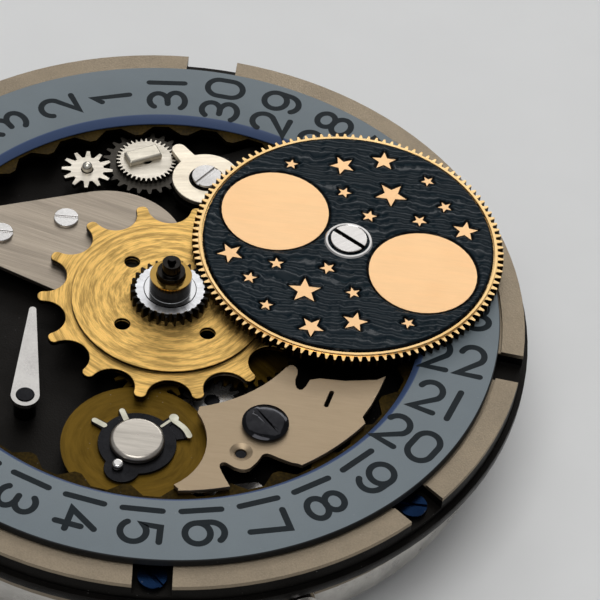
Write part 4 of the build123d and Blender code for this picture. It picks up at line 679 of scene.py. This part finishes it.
def finishes():
    """Every finish by its name. Each is made once, with the colours that the user has set."""
    colours = bpy.context.scene.movement_colours
    gilt, rose, enamel, paint, ink = (
        tuple(colour) for colour in (colours.gilt, colours.rose, colours.enamel, colours.ring, colours.ink))
    # Near black and dark brass, used for painted shade in grooves, slots and lower tiers
    black, shaded_brass = (0.0015, 0.0015, 0.0017), (0.022, 0.013, 0.003)
    # Ends of the levels and rings that take in the whole rest of a piece, and the middle of the movement
    below, beyond, axis = -9.0, 99.0, (0.0, 0.0)
    pipe, ring_corner = top_of("hour_wheel"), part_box("date_ring")[1] / MM
    lever_screw = max(outlines("calendar_screws"), key=lambda outline: outline[2])[0]
    # Grain of the steel of the correctors, and heights of the painted highlight round the hour wheel's pipe
    drawn, highlight_low, highlight_high = straight(75, 8.0, shortness=0.10), 1.425, 1.455
    made = {}
    # Painted shade: the plate is near black below 0.6 mm, in the deep calendar recess and under it
    made["plated_plate"] = finish(
        "Raw plated plate", (0.30, 0.245, 0.175), (0.22, 0.18, 0.13), (0.38, 0.5), frosted(16.0), 0.010,
        levels=[(-0.6, 0.60, (0.012, 0.011, 0.010))])
    made["brushed_bridge"] = finish(
        "Brushed calendar bridge", (0.40, 0.34, 0.27), (0.26, 0.22, 0.175), (0.28, 0.42),
        straight(48, 9.0), 0.010)
    made["cover_metal"] = finish(
        "Satin cover plate", (0.39, 0.30, 0.20), (0.34, 0.26, 0.17), (0.40, 0.50),
        straight(63, 10.0, shortness=0.12), 0.005)
    # Painted dark reflection: the cover screw's mirror-polished steel is near black
    made["black_steel"] = finish(
        "Mirror steel in painted dark reflection", (0.030, 0.030, 0.033), (0.018, 0.018, 0.020), (0.05, 0.10),
        turned(middle_of("date_cover_screw"), 6.0), 0.001, dust=0.8)
    made["blued_steel"] = finish(
        "Blued steel", (0.008, 0.024, 0.065), (0.004, 0.012, 0.035), (0.16, 0.26), frosted(20.0), 0.003)
    made["polished_steel"] = finish(
        "Polished steel", (0.74, 0.72, 0.70), (0.60, 0.58, 0.56), (0.14, 0.24), frosted(9.0), 0.002)
    # Painted shade: below its top the moon disc screw is black, in its slot and round its head
    made["moon_screw"] = finish(
        "Moon disc screw", (0.80, 0.77, 0.74), (0.66, 0.63, 0.60), (0.14, 0.22),
        straight(100, 8.0, shortness=0.15), 0.002, levels=[(below, top_of("moon_disc_screw") - 0.035, black)])
    # Painted highlights on the date finger's arms, knob and blade
    made["arm_steel"] = finish(
        "Painted highlights on the finger", (0.70, 0.68, 0.56), (0.36, 0.34, 0.26), (0.24, 0.34), frosted(3.0), 0.004)
    made["boss_steel"] = finish(
        "Drawn boss steel", (0.64, 0.59, 0.52), (0.31, 0.285, 0.25), (0.22, 0.34),
        straight(63, 5.0, shortness=0.10), 0.006)
    # Painted dark reflection: the cannon pinion and hour wheel are near black, with an amber band at the
    # pipe's top face
    made["dark_steel"] = finish(
        "Centre stack steel in painted dark reflection", (0.030, 0.027, 0.024), (0.016, 0.015, 0.014), (0.10, 0.20), turned(axis, 5.0), 0.003,
        # The white band round the shoulder is a painted highlight
        levels=[(pipe - 0.05, pipe + 0.02, (0.42, 0.26, 0.07)), (highlight_low, highlight_high, (0.80, 0.80, 0.80))])
    # Painted shade: above the plate the seconds arbor is near black inside the centre stack
    made["seconds_steel"] = finish(
        "Train brass with its arbor in painted shade", (0.78, 0.56, 0.28), (0.62, 0.44, 0.20), (0.16, 0.26),
        frosted(10.0), 0.002, levels=[(0.0, beyond, (0.022, 0.021, 0.020))])
    # Painted shade: near black on the date finger and on the date jumper under the star wheel
    made["finger_and_jumper_shade"] = finish(
        "Finger and jumper steel in painted shade", (0.020, 0.020, 0.022), (0.010, 0.010, 0.011), (0.22, 0.32),
        frosted(14.0), 0.003)
    made["cream_metal"] = finish(
        "Cream drawn steel", (0.80, 0.74, 0.62), (0.50, 0.46, 0.38), (0.30, 0.42), drawn, 0.010)
    # Painted highlight: a pale disc on the dome of the corrector star's post; the other posts are near black
    made["post_steel"] = finish(
        "Wheel posts", (0.020, 0.020, 0.022), (0.010, 0.010, 0.011), (0.18, 0.28), frosted(14.0), 0.003,
        rings=[(middle_of("corrector_star"), -1.0, 0.6, (0.70, 0.66, 0.58))])
    # Painted shade: below their tops the corrector wheel and star are dark, on the lower teeth
    for node in ("corrector_wheel", "corrector_star"):
        made[node] = finish(
            f"Drawn steel, {node}", (0.78, 0.72, 0.62), (0.46, 0.42, 0.35), (0.28, 0.40), drawn, 0.010,
            levels=[(below, top_of(node) - 0.03, (0.05, 0.045, 0.038))])
    # Painted shade: a black disc on the lever round the head of its screw
    made["lever_metal"] = finish(
        "Corrector lever", (0.92, 0.83, 0.67), (0.68, 0.60, 0.48), (0.30, 0.42), drawn, 0.010,
        rings=[(lever_screw, -1.0, 0.66, black)])
    # Painted shade: the outer edge of the date ring is near black; below its top the ring takes a blue band
    made["ring_paint"] = finish(
        "Satin date ring", paint, shade(paint, 0.90), (0.40, 0.50), frosted(22.0), 0.0025,
        metallic=0.0, dust=0.6, specular=0.35, levels=[(below, ring_corner.z - 0.016, (0.055, 0.090, 0.190))],
        rings=[(axis, ring_corner.x - 0.03, beyond, (0.010, 0.011, 0.012))])
    made["ink"] = finish(
        "Printed ink", ink, shade(ink, 0.7), (0.45, 0.55), frosted(30.0), 0.003, metallic=0.0, dust=0.1,
        specular=0.12)
    for name, node, shadow in (
            ("star_brass", "moon_star_wheel", shaded_brass), ("disc_brass", "moon_star_disc", black)):
        made[name] = finish(
            f"Turned gilt brass, {node}", gilt, shade(gilt, 0.46), (0.28, 0.40),
            turned(axis, 20.0, length=8.0), 0.014, tones=(0.40, 0.58),
            levels=[(below, top_of(node) - 0.028, shadow)])
    moon_arbor = arbor_of("moon_display_spin")
    # Painted shade: the moon wheel is black round its arbor, in the groove under the collar, and dark brass
    # on its teeth under the field
    made["moon_wheel"] = finish(
        "Gilt moon wheel", (0.96, 0.68, 0.34), (0.84, 0.54, 0.22), (0.22, 0.32),
        turned(moon_arbor, 12.0, length=4.0), 0.004, rings=[(moon_arbor, 0.0, 0.98, black)],
        levels=[(below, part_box("moon_disc_field")[0].z / MM - 0.03, shaded_brass)])
    made["olive_brass"] = finish(
        "Olive brass", (0.150, 0.088, 0.012), (0.075, 0.044, 0.006), (0.40, 0.52),
        turned(arbor_of("date_drive_spin"), 9.0), 0.005)
    made["teeth_brass"] = finish(
        "Shaded brass teeth", (0.042, 0.026, 0.005), (0.007, 0.005, 0.002), (0.34, 0.46),
        frosted(10.0), 0.004)
    # Painted highlight: the enamel's light tone lies along the ripple edges; its grooves round the moons and
    # stars are painted shade
    made["moon_enamel"] = finish(
        "Night enamel", (0.12, 0.21, 0.25), enamel, (0.20, 0.28),
        ("Hammered skin", dict(direction=math.radians(63), rows=3.3, width=0.22)), 0.050,
        metallic=0.0, dust=0.1, specular=0.11, tones=(0.42, 1.05),
        levels=[(below, top_of("moon_disc_moons") + ENAMEL_RISE - 0.022, black)])
    # Painted shade: the walls of the moons and stars below their tops are darker orange
    made["rose_gold"] = finish(
        "Drawn rose gold", rose, shade(rose, 0.92), (0.36, 0.46), straight(63, 11.0, shortness=0.14), 0.003,
        dust=0.3, levels=[(below, top_of("moon_disc_stars") - 0.015, (0.60, 0.25, 0.07))])
    made["winding_steel"] = finish(
        "Winding wheel steel", (0.58, 0.56, 0.53), (0.47, 0.45, 0.43), (0.18, 0.30), frosted(11.0), 0.004)
    made["balance_metal"] = finish(
        "Balance alloy", (0.78, 0.56, 0.28), (0.62, 0.44, 0.20), (0.20, 0.30), frosted(10.0), 0.003)
    made["ruby"] = finish(
        "Synthetic ruby", (0.55, 0.02, 0.06), (0.36, 0.01, 0.04), (0.06, 0.12), frosted(8.0), 0.001,
        metallic=0.0, coat=1.0, dust=0.1)
    made["rotor_metal"] = finish(
        "Striped rotor", (0.60, 0.58, 0.55), (0.47, 0.45, 0.42), (0.24, 0.36), straight(0, 10.0), 0.004,
        waves=dict(direction=0.0, pitch=1.3))
    made["weight_metal"] = finish(
        "Heavy rotor rim", (0.30, 0.275, 0.245), (0.20, 0.185, 0.165), (0.26, 0.38), turned(axis, 9.0), 0.005)
    for node in ("ratchet_wheel", "crown_wheel"):
        made[node] = finish(
            f"Turned winding wheel, {node}", (0.72, 0.66, 0.56), (0.44, 0.40, 0.34), (0.18, 0.28),
            turned(middle_of(node), 9.0), 0.006)
    made["striped_bridge"] = finish(
        "Striped bridge", (0.62, 0.60, 0.56), (0.48, 0.46, 0.43), (0.24, 0.36), straight(30, 10.0), 0.004,
        waves=dict(direction=math.radians(30), pitch=1.5))
    # Painted shade: the pinion is near black below its top and beyond 1.24 mm, on its teeth
    made["pinion_steel"] = finish(
        "Fluted pinion steel", (0.78, 0.78, 0.79), (0.60, 0.60, 0.61), (0.26, 0.36),
        turned(axis, 1.0, length=26.0), 0.008,
        levels=[(below, top_of("moon_pinion") - 0.012, (0.005, 0.005, 0.005))],
        rings=[(axis, 1.24, beyond, (0.012, 0.011, 0.010))])
    return made


# Finish of each CAD node, and the width of its eased edge in millimetres, 0 where it stays sharp
WEARS = {
    "main_plate": ("plated_plate", 0.03), "dial_screws": ("blued_steel", 0.03),
    "wheel_posts": ("post_steel", 0), "date_ring_teeth": ("teeth_brass", 0),
    "date_cover_plate": ("cover_metal", 0.025), "date_cover_screw": ("black_steel", 0.05),
    "calendar_bridge": ("brushed_bridge", 0.02), "calendar_screws": ("polished_steel", 0.03),
    "corrector_plate": ("plated_plate", 0), "corrector_lever": ("lever_metal", 0.025),
    "corrector_wheel": ("corrector_wheel", 0.012), "corrector_dog": ("cream_metal", 0.03),
    "corrector_star": ("corrector_star", 0.012), "date_idler_wheel": ("olive_brass", 0),
    "date_drive_wheel": ("olive_brass", 0), "date_drive_boss": ("boss_steel", 0.05),
    "date_finger": ("finger_and_jumper_shade", 0.03), "date_finger_pin": ("polished_steel", 0.05),
    "cannon_pinion": ("dark_steel", 0.03), "hour_wheel": ("dark_steel", 0),
    "minute_wheel": ("olive_brass", 0), "setting_wheel": ("winding_steel", 0),
    "moon_star_wheel": ("star_brass", 0.025), "moon_star_disc": ("disc_brass", 0.02),
    "moon_pinion": ("pinion_steel", 0), "moon_disc": ("moon_wheel", 0.012),
    "moon_disc_moons": ("rose_gold", 0), "moon_disc_stars": ("rose_gold", 0),
    "moon_disc_screw": ("moon_screw", 0.02), "date_jumper": ("finger_and_jumper_shade", 0),
    "moon_jumper": ("winding_steel", 0), "winding_stem": ("winding_steel", 0),
    "winding_pinion": ("winding_steel", 0), "clutch_pinion": ("winding_steel", 0),
    "setting_lever": ("winding_steel", 0), "yoke": ("winding_steel", 0),
    "barrel_bridge": ("striped_bridge", 0.05), "train_bridge": ("striped_bridge", 0.05),
    "bridge_screws": ("blued_steel", 0.04), "jewels": ("ruby", 0), "barrel_drum": ("balance_metal", 0),
    "barrel_arbor": ("polished_steel", 0), "ratchet_wheel": ("ratchet_wheel", 0.012),
    "crown_wheel": ("crown_wheel", 0.012), "click": ("winding_steel", 0.02),
    "centre_wheel": ("balance_metal", 0), "third_wheel": ("balance_metal", 0),
    "seconds_wheel": ("seconds_steel", 0), "escape_wheel": ("winding_steel", 0),
    "pallet_fork": ("winding_steel", 0), "pallet_bridge": ("striped_bridge", 0.02),
    "balance_wheel": ("balance_metal", 0.02), "balance_staff": ("polished_steel", 0),
    "hairspring": ("blued_steel", 0), "balance_cock": ("striped_bridge", 0.03),
    "rotor_bearing": ("polished_steel", 0.03), "rotor_plate": ("rotor_metal", 0.02),
    "rotor_weight": ("weight_metal", 0.06),
}


# Operators, one for each piece or group of like pieces

class Dresser:
    """Common ground of the operators that give CAD nodes their finish and eased edges."""
    bl_options = {"REGISTER", "UNDO"}
    nodes = ()

    def execute(self, context):
        made = finishes()
        for node in self.nodes:
            name, edge = WEARS[node]
            dress(node, made[name])
            if edge:
                eased(node, edge)
        return {"FINISHED"}


class MOVEMENT_OT_plate(Dresser, bpy.types.Operator):
    """Main plate with its rim, blued screws, posts and the corrector plate"""
    bl_idname = "movement.plate"
    bl_label = "Main plate"
    nodes = ("main_plate", "dial_screws", "wheel_posts", "corrector_plate")


class MOVEMENT_OT_cover(Dresser, bpy.types.Operator):
    """Satin calendar cover plate with its polished screw in painted dark reflection, and the brushed calendar
    bridge
    """
    bl_idname = "movement.cover"
    bl_label = "Calendar cover"
    nodes = ("date_cover_plate", "date_cover_screw", "calendar_bridge", "calendar_screws")


class MOVEMENT_OT_correctors(Dresser, bpy.types.Operator):
    """Corrector lever, wheel, dog and star"""
    bl_idname = "movement.correctors"
    bl_label = "Correctors"
    nodes = ("corrector_lever", "corrector_wheel", "corrector_dog", "corrector_star")


class MOVEMENT_OT_date_train(Dresser, bpy.types.Operator):
    """Date train: idler, drive wheel, boss, finger with painted highlight strokes and its pin, and the two
    jumpers, the date jumper in painted shade
    """
    bl_idname = "movement.date_train"
    bl_label = "Date train"
    nodes = ("date_idler_wheel", "date_drive_wheel", "date_drive_boss", "date_finger", "date_finger_pin",
             "date_jumper", "moon_jumper")

    def execute(self, context):
        super().execute(context)
        over, layer_step, thickness = 0.016, 0.004, 0.06
        centre, height = Vector(middle_of("date_drive_boss")), top_of("date_finger") + over
        points, faces = [], []
        # Each stroke is a painted highlight laid just over the finger
        for width, arm in FINGER_HIGHLIGHTS:
            bends = [(math.radians(angle), distance) for angle, distance in arm]
            path = [centre + Vector((math.cos(a), math.sin(a))) * r for a, r in bends]
            add_stroke(points, faces, path, width, lambda p: (p.x * MM, p.y * MM, height * MM))
            height += layer_step
        obj = mesh_piece("date_finger_highlights", points, faces, finishes()["arm_steel"], body_of("date_finger"))
        face_up(obj)
        thicken(obj, "thickness", thickness)
        return {"FINISHED"}


class MOVEMENT_OT_centre(Dresser, bpy.types.Operator):
    """Centre stack and motion works"""
    bl_idname = "movement.centre"
    bl_label = "Centre stack"
    nodes = ("cannon_pinion", "hour_wheel", "minute_wheel", "setting_wheel")


class MOVEMENT_OT_star_wheel(Dresser, bpy.types.Operator):
    """Gilt star wheel with its turned disc and steel pinion"""
    bl_idname = "movement.star_wheel"
    bl_label = "Moon star wheel"
    nodes = ("moon_star_wheel", "moon_star_disc", "moon_pinion")


class MOVEMENT_OT_moon_disc(Dresser, bpy.types.Operator):
    """Toothed moon disc with its gold moons, stars, bright collar and screw"""
    bl_idname = "movement.moon_disc"
    bl_label = "Moon disc"
    nodes = ("moon_disc", "moon_disc_moons", "moon_disc_stars", "moon_disc_screw")

    def execute(self, context):
        super().execute(context)
        inner, outer, rise, sunk = 0.745, 0.885, 0.05, 0.06
        inner_ease, inner_fall, outer_ease = 0.02, 0.015, 0.05
        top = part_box("moon_disc_screw")[0].z / MM + rise
        profile = [(inner, top - sunk), (inner, top - inner_fall), (inner + inner_ease, top),
                   (outer - outer_ease, top), (outer, top - outer_ease), (outer, top - sunk)]
        lathe("moon_collar", profile, finishes()["polished_steel"], body_of("moon_disc"),
              centre=middle_of("moon_disc_screw"), steps=180)
        return {"FINISHED"}


class MOVEMENT_OT_winding(Dresser, bpy.types.Operator):
    """Stem with its thread, winding and clutch pinions, setting lever, yoke, barrel, click and wheels"""
    bl_idname = "movement.winding"
    bl_label = "Winding works"
    nodes = ("winding_stem", "winding_pinion", "clutch_pinion", "setting_lever", "yoke", "barrel_drum",
             "barrel_arbor", "ratchet_wheel", "crown_wheel", "click")

    def execute(self, context):
        super().execute(context)
        mount = next(m for m in MOUNTS if m["name"] == "crown_thread")
        middle = Vector(mount["pos_m"]) / MM
        radius, length = mount["dims"]["r_mm"], mount["dims"]["length_mm"]
        pitch, steps, run_out = 0.20, 24, 0.20
        half_width, ridge, sunk = 0.07, 0.03, 0.01
        corners = ((-half_width, radius - sunk), (0.0, radius + ridge), (half_width, radius - sunk))
        start, points, faces = middle.x - length / 2 + run_out, [], []
        count = int((length - 2 * run_out) / pitch * steps)
        for i in range(count + 1):
            a = 2 * math.pi * i / steps
            for along, r in corners:
                points.append(Vector((start + pitch * i / steps + along, middle.y + r * math.cos(a),
                                      middle.z + r * math.sin(a))) * MM)
            if i:
                back = 3 * (i - 1)
                faces += [(back + k, back + (k + 1) % 3, 3 * i + (k + 1) % 3, 3 * i + k) for k in range(3)]
        faces += [(2, 1, 0), (3 * count, 3 * count + 1, 3 * count + 2)]
        mesh_piece("stem_thread", points, faces, finishes()["winding_steel"], body_of("winding_stem"))
        return {"FINISHED"}


class MOVEMENT_OT_train(Dresser, bpy.types.Operator):
    """Bridges, their screws and jewels, and the going train"""
    bl_idname = "movement.train"
    bl_label = "Bridges and train"
    nodes = ("barrel_bridge", "train_bridge", "bridge_screws", "jewels", "centre_wheel", "third_wheel",
             "seconds_wheel", "escape_wheel")


class MOVEMENT_OT_balance(Dresser, bpy.types.Operator):
    """Balance with its spring and cock, pallet fork and pallet bridge"""
    bl_idname = "movement.balance"
    bl_label = "Balance"
    nodes = ("pallet_fork", "pallet_bridge", "balance_wheel", "balance_staff", "hairspring", "balance_cock")


class MOVEMENT_OT_rotor(Dresser, bpy.types.Operator):
    """Winding rotor with its heavy rim and bearing"""
    bl_idname = "movement.rotor"
    bl_label = "Rotor"
    nodes = ("rotor_bearing", "rotor_plate", "rotor_weight")


class MOVEMENT_OT_date_ring(bpy.types.Operator):
    """Satin date ring with its bevelled inner edge, printed with the numbers 1 to 31"""
    bl_idname = "movement.date_ring"
    bl_label = "Date ring"
    bl_options = {"REGISTER", "UNDO"}

    def execute(self, context):
        sizes, made = context.scene.movement_sizes, finishes()
        low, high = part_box("date_ring")
        outer, bottom, top = high.x / MM, low.z / MM, high.z / MM
        inner = min(math.hypot(v.co.x, v.co.y) for v in NODES["date_ring"].data.vertices) / MM
        bevel, edge, ink_thickness = 0.26, 0.035, 0.006
        profile = [(inner, bottom), (inner, top - bevel), (inner + bevel * 0.45, top - bevel * 0.42),
                   (inner + bevel * 0.85, top - bevel * 0.10), (inner + bevel * 1.15, top),
                   (outer - edge, top), (outer, top - edge), (outer, bottom)]
        lathe("date_ring_satin", profile, made["ring_paint"], body_of("date_ring"), "date_ring")
        points, faces = [], []
        for number in range(1, DATES + 1):
            self.print_number(number, sizes, high.z, points, faces)
        obj = mesh_piece("date_numbers", points, faces, made["ink"], body_of("date_ring"))
        face_up(obj)
        thicken(obj, "ink", ink_thickness)
        dress("date_ring_teeth", made["teeth_brass"])
        return {"FINISHED"}

    def print_number(self, number, sizes, top, points, faces):
        """Adds the strokes of one number, whose figures stand side by side along a spoke of the ring."""
        over, layer_step = 0.004, 0.003
        angle = sizes.first_angle + (number - 17) * 2 * math.pi / DATES
        along, up = Vector((math.cos(angle), math.sin(angle))), Vector((-math.sin(angle), math.cos(angle)))
        height = sizes.figure_height
        figures = ["flag"] if number == 1 else list(str(number))
        widths = [(NARROW_WIDTH if f in ("1", "flag") else FIGURE_WIDTH) * height for f in figures]
        span = sum(widths) + sizes.figure_gap * (len(figures) - 1)
        start = sizes.figure_ring - span / 2
        for figure, wide in zip(figures, widths):
            for layer, items in enumerate(FIGURES[figure]):
                z = top + (over + layer_step * layer) * MM

                def spot(p):
                    return (*(along * (start + p.x) + up * (p.y - height / 2)), z)

                path = [p * height for p in stroke_points(items)]
                add_stroke(points, faces, path, sizes.figure_stroke, spot)
            start += wide + sizes.figure_gap


class MOVEMENT_OT_enamel(bpy.types.Operator):
    """Rippled night enamel of the moon disc, sunk round each moon and star"""
    bl_idname = "movement.enamel"
    bl_label = "Moon disc enamel"
    bl_options = {"REGISTER", "UNDO"}

    def execute(self, context):
        sizes, made = context.scene.movement_sizes, finishes()
        low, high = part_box("moon_disc_field")
        centre, reach = Vector(middle_of("moon_disc_field")), (high.x - low.x) / 2 / MM
        top = top_of("moon_disc_moons") + ENAMEL_RISE
        step, lip, deep = (v / MM for v in (sizes.grid_step, sizes.lip_height, sizes.groove_depth))
        stars = [(middle, ring) for middle, ring, _ in outlines("moon_disc_stars")]
        moons = [(middle, sum((c - middle).length for c in ring) / len(ring))
                 for middle, ring, _ in outlines("moon_disc_moons")]
        # How far from the middle of a star, and from the edge of a moon, the enamel is shaped by them
        star_reach, moon_reach = 0.95, 0.6
        # The groove at the rim of the disc is deeper than the others
        rim_depth = 1.6

        def groove(gap, start, fall):
            """Depth at some distance from an edge: whole beside it, none from start times fall on."""
            return deep * max(0, min(1, start - gap / fall))

        def swell(gap, off, width):
            """A soft lip at some distance off an edge."""
            return lip * math.exp(-((gap - off) / width) ** 2)

        def height(p):
            z = -rim_depth * groove(reach - (p - centre).length, 1.3, 0.09)
            for middle, radius in moons:
                gap = (p - middle).length - radius
                if gap < moon_reach:
                    z += swell(gap, 0.25, 0.06) - groove(gap, 1.7, 0.065)
            for middle, ring in stars:
                if (p - middle).length < star_reach:
                    gap = 0.0 if inside(p, ring) else away_from(p, ring)
                    z += swell(gap, 0.18, 0.045) - groove(gap, 1.6, 0.060)
            return top + z

        points, index, faces = [], {}, []
        count = int(reach / step) + 1
        for i in range(-count, count + 1):
            for j in range(-count, count + 1):
                p = Vector((i * step, j * step))
                if p.length <= reach - step * 0.3:
                    q = centre + p
                    index[i, j] = len(points)
                    points.append((q.x * MM, q.y * MM, height(q) * MM))
        for i, j in index:
            square = [index.get(c) for c in ((i, j), (i + 1, j), (i + 1, j + 1), (i, j + 1))]
            if None not in square:
                faces.append(tuple(square))
        obj = mesh_piece("moon_disc_enamel", points, faces, made["moon_enamel"], body_of("moon_disc_field"),
                         "moon_disc_field")
        smooth(obj, 80)
        return {"FINISHED"}


# Stage

def lay_floor(scene):
    half, gap = 0.6, 0.2 * MM
    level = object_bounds()[0].z - gap
    mesh = bpy.data.meshes.new("floor")
    mesh.from_pydata([(-half, -half, level), (half, -half, level), (half, half, level), (-half, half, level)],
                     [], [(0, 1, 2, 3)])
    floor = bpy.data.objects.new("floor", mesh)
    scene.collection.objects.link(floor)
    paint = bpy.data.materials.new("Pale floor")
    paint.use_nodes = True
    web = Web(paint.node_tree)
    shader = paint.node_tree.nodes["Principled BSDF"]
    shader.inputs["Roughness"].default_value = 0.85
    grain = web.add("ShaderNodeTexNoise", {"Vector": web.place(), "Scale": 0.4, "Detail": 3.0})
    tone = web.blend(grain.outputs["Fac"], (0.78, 0.78, 0.77, 1), (0.82, 0.82, 0.81, 1))
    web.put(shader.inputs["Base Color"], tone)
    wear(floor, paint)
    floor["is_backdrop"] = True


def light_studio(scene):
    world = bpy.data.worlds.new("Studio")
    scene.world = world
    world.use_nodes = True
    sky = world.node_tree.nodes["Background"]
    sky.inputs["Color"].default_value = (0.62, 0.63, 0.65, 1)
    sky.inputs["Strength"].default_value = 0.46
    aim = Vector((0.0, 0.002, 0.0))
    for name, place, wide, tall, power in LAMPS:
        light = bpy.data.lights.new(name, "AREA")
        light.shape = "RECTANGLE"
        light.size = wide
        light.size_y = tall
        light.energy = power
        lamp = bpy.data.objects.new(name, light)
        lamp.location = place
        lamp.rotation_euler = (aim - lamp.location).to_track_quat("-Z", "Y").to_euler()
        scene.collection.objects.link(lamp)


def set_camera(scene):
    forward = (CAMERA_AIM - CAMERA_PLACE).normalized()
    level = forward.cross(Vector((0, 0, 1))).normalized()
    upright = level.cross(forward)
    right = level * math.cos(CAMERA_ROLL) + upright * math.sin(CAMERA_ROLL)
    up = upright * math.cos(CAMERA_ROLL) - level * math.sin(CAMERA_ROLL)
    lens = bpy.data.cameras.new("photograph angle")
    lens.sensor_fit = "HORIZONTAL"
    lens.sensor_width = 36.0
    lens.lens = FOCAL_LENGTH
    lens.clip_start = 0.001
    lens.clip_end = 10.0
    camera = bpy.data.objects.new("photograph angle", lens)
    turn = Matrix((right, up, -forward)).transposed().to_4x4()
    camera.matrix_world = Matrix.Translation(CAMERA_PLACE * MM) @ turn
    scene.collection.objects.link(camera)
    scene.camera = camera


class MOVEMENT_OT_stage(bpy.types.Operator):
    """Pale floor, soft studio lamps and the camera at the photograph's angle"""
    bl_idname = "movement.stage"
    bl_label = "Stage"
    bl_options = {"REGISTER", "UNDO"}

    def execute(self, context):
        lay_floor(context.scene)
        light_studio(context.scene)
        set_camera(context.scene)
        context.scene.view_settings.view_transform = "Standard"
        return {"FINISHED"}


class MOVEMENT_PT_panel(bpy.types.Panel):
    """Lists the sizes, colours and operators"""
    bl_label = "Moon phase movement"
    bl_idname = "MOVEMENT_PT_panel"
    bl_space_type = "VIEW_3D"
    bl_region_type = "UI"
    bl_category = "Movement"

    def draw(self, context):
        for group in (context.scene.movement_sizes, context.scene.movement_colours):
            box = self.layout.box()
            for key in group.__annotations__:
                box.prop(group, key)
        for operator in OPERATORS:
            self.layout.operator(operator.bl_idname)


OPERATORS = (
    MOVEMENT_OT_plate, MOVEMENT_OT_date_ring, MOVEMENT_OT_cover, MOVEMENT_OT_correctors,
    MOVEMENT_OT_date_train, MOVEMENT_OT_centre, MOVEMENT_OT_star_wheel, MOVEMENT_OT_moon_disc,
    MOVEMENT_OT_enamel, MOVEMENT_OT_winding, MOVEMENT_OT_train, MOVEMENT_OT_balance, MOVEMENT_OT_rotor,
    MOVEMENT_OT_stage,
)
CLASSES = (MovementSizes, MovementColours, *OPERATORS, MOVEMENT_PT_panel)


def register():
    for item in CLASSES:
        bpy.utils.register_class(item)
    bpy.types.Scene.movement_sizes = bpy.props.PointerProperty(type=MovementSizes)
    bpy.types.Scene.movement_colours = bpy.props.PointerProperty(type=MovementColours)


def unregister():
    del bpy.types.Scene.movement_colours
    del bpy.types.Scene.movement_sizes
    for item in reversed(CLASSES):
        bpy.utils.unregister_class(item)


def main():
    register()
    for operator in OPERATORS:
        group, name = operator.bl_idname.split(".")
        getattr(getattr(bpy.ops, group), name)()


if __name__ == "__main__":
    main()
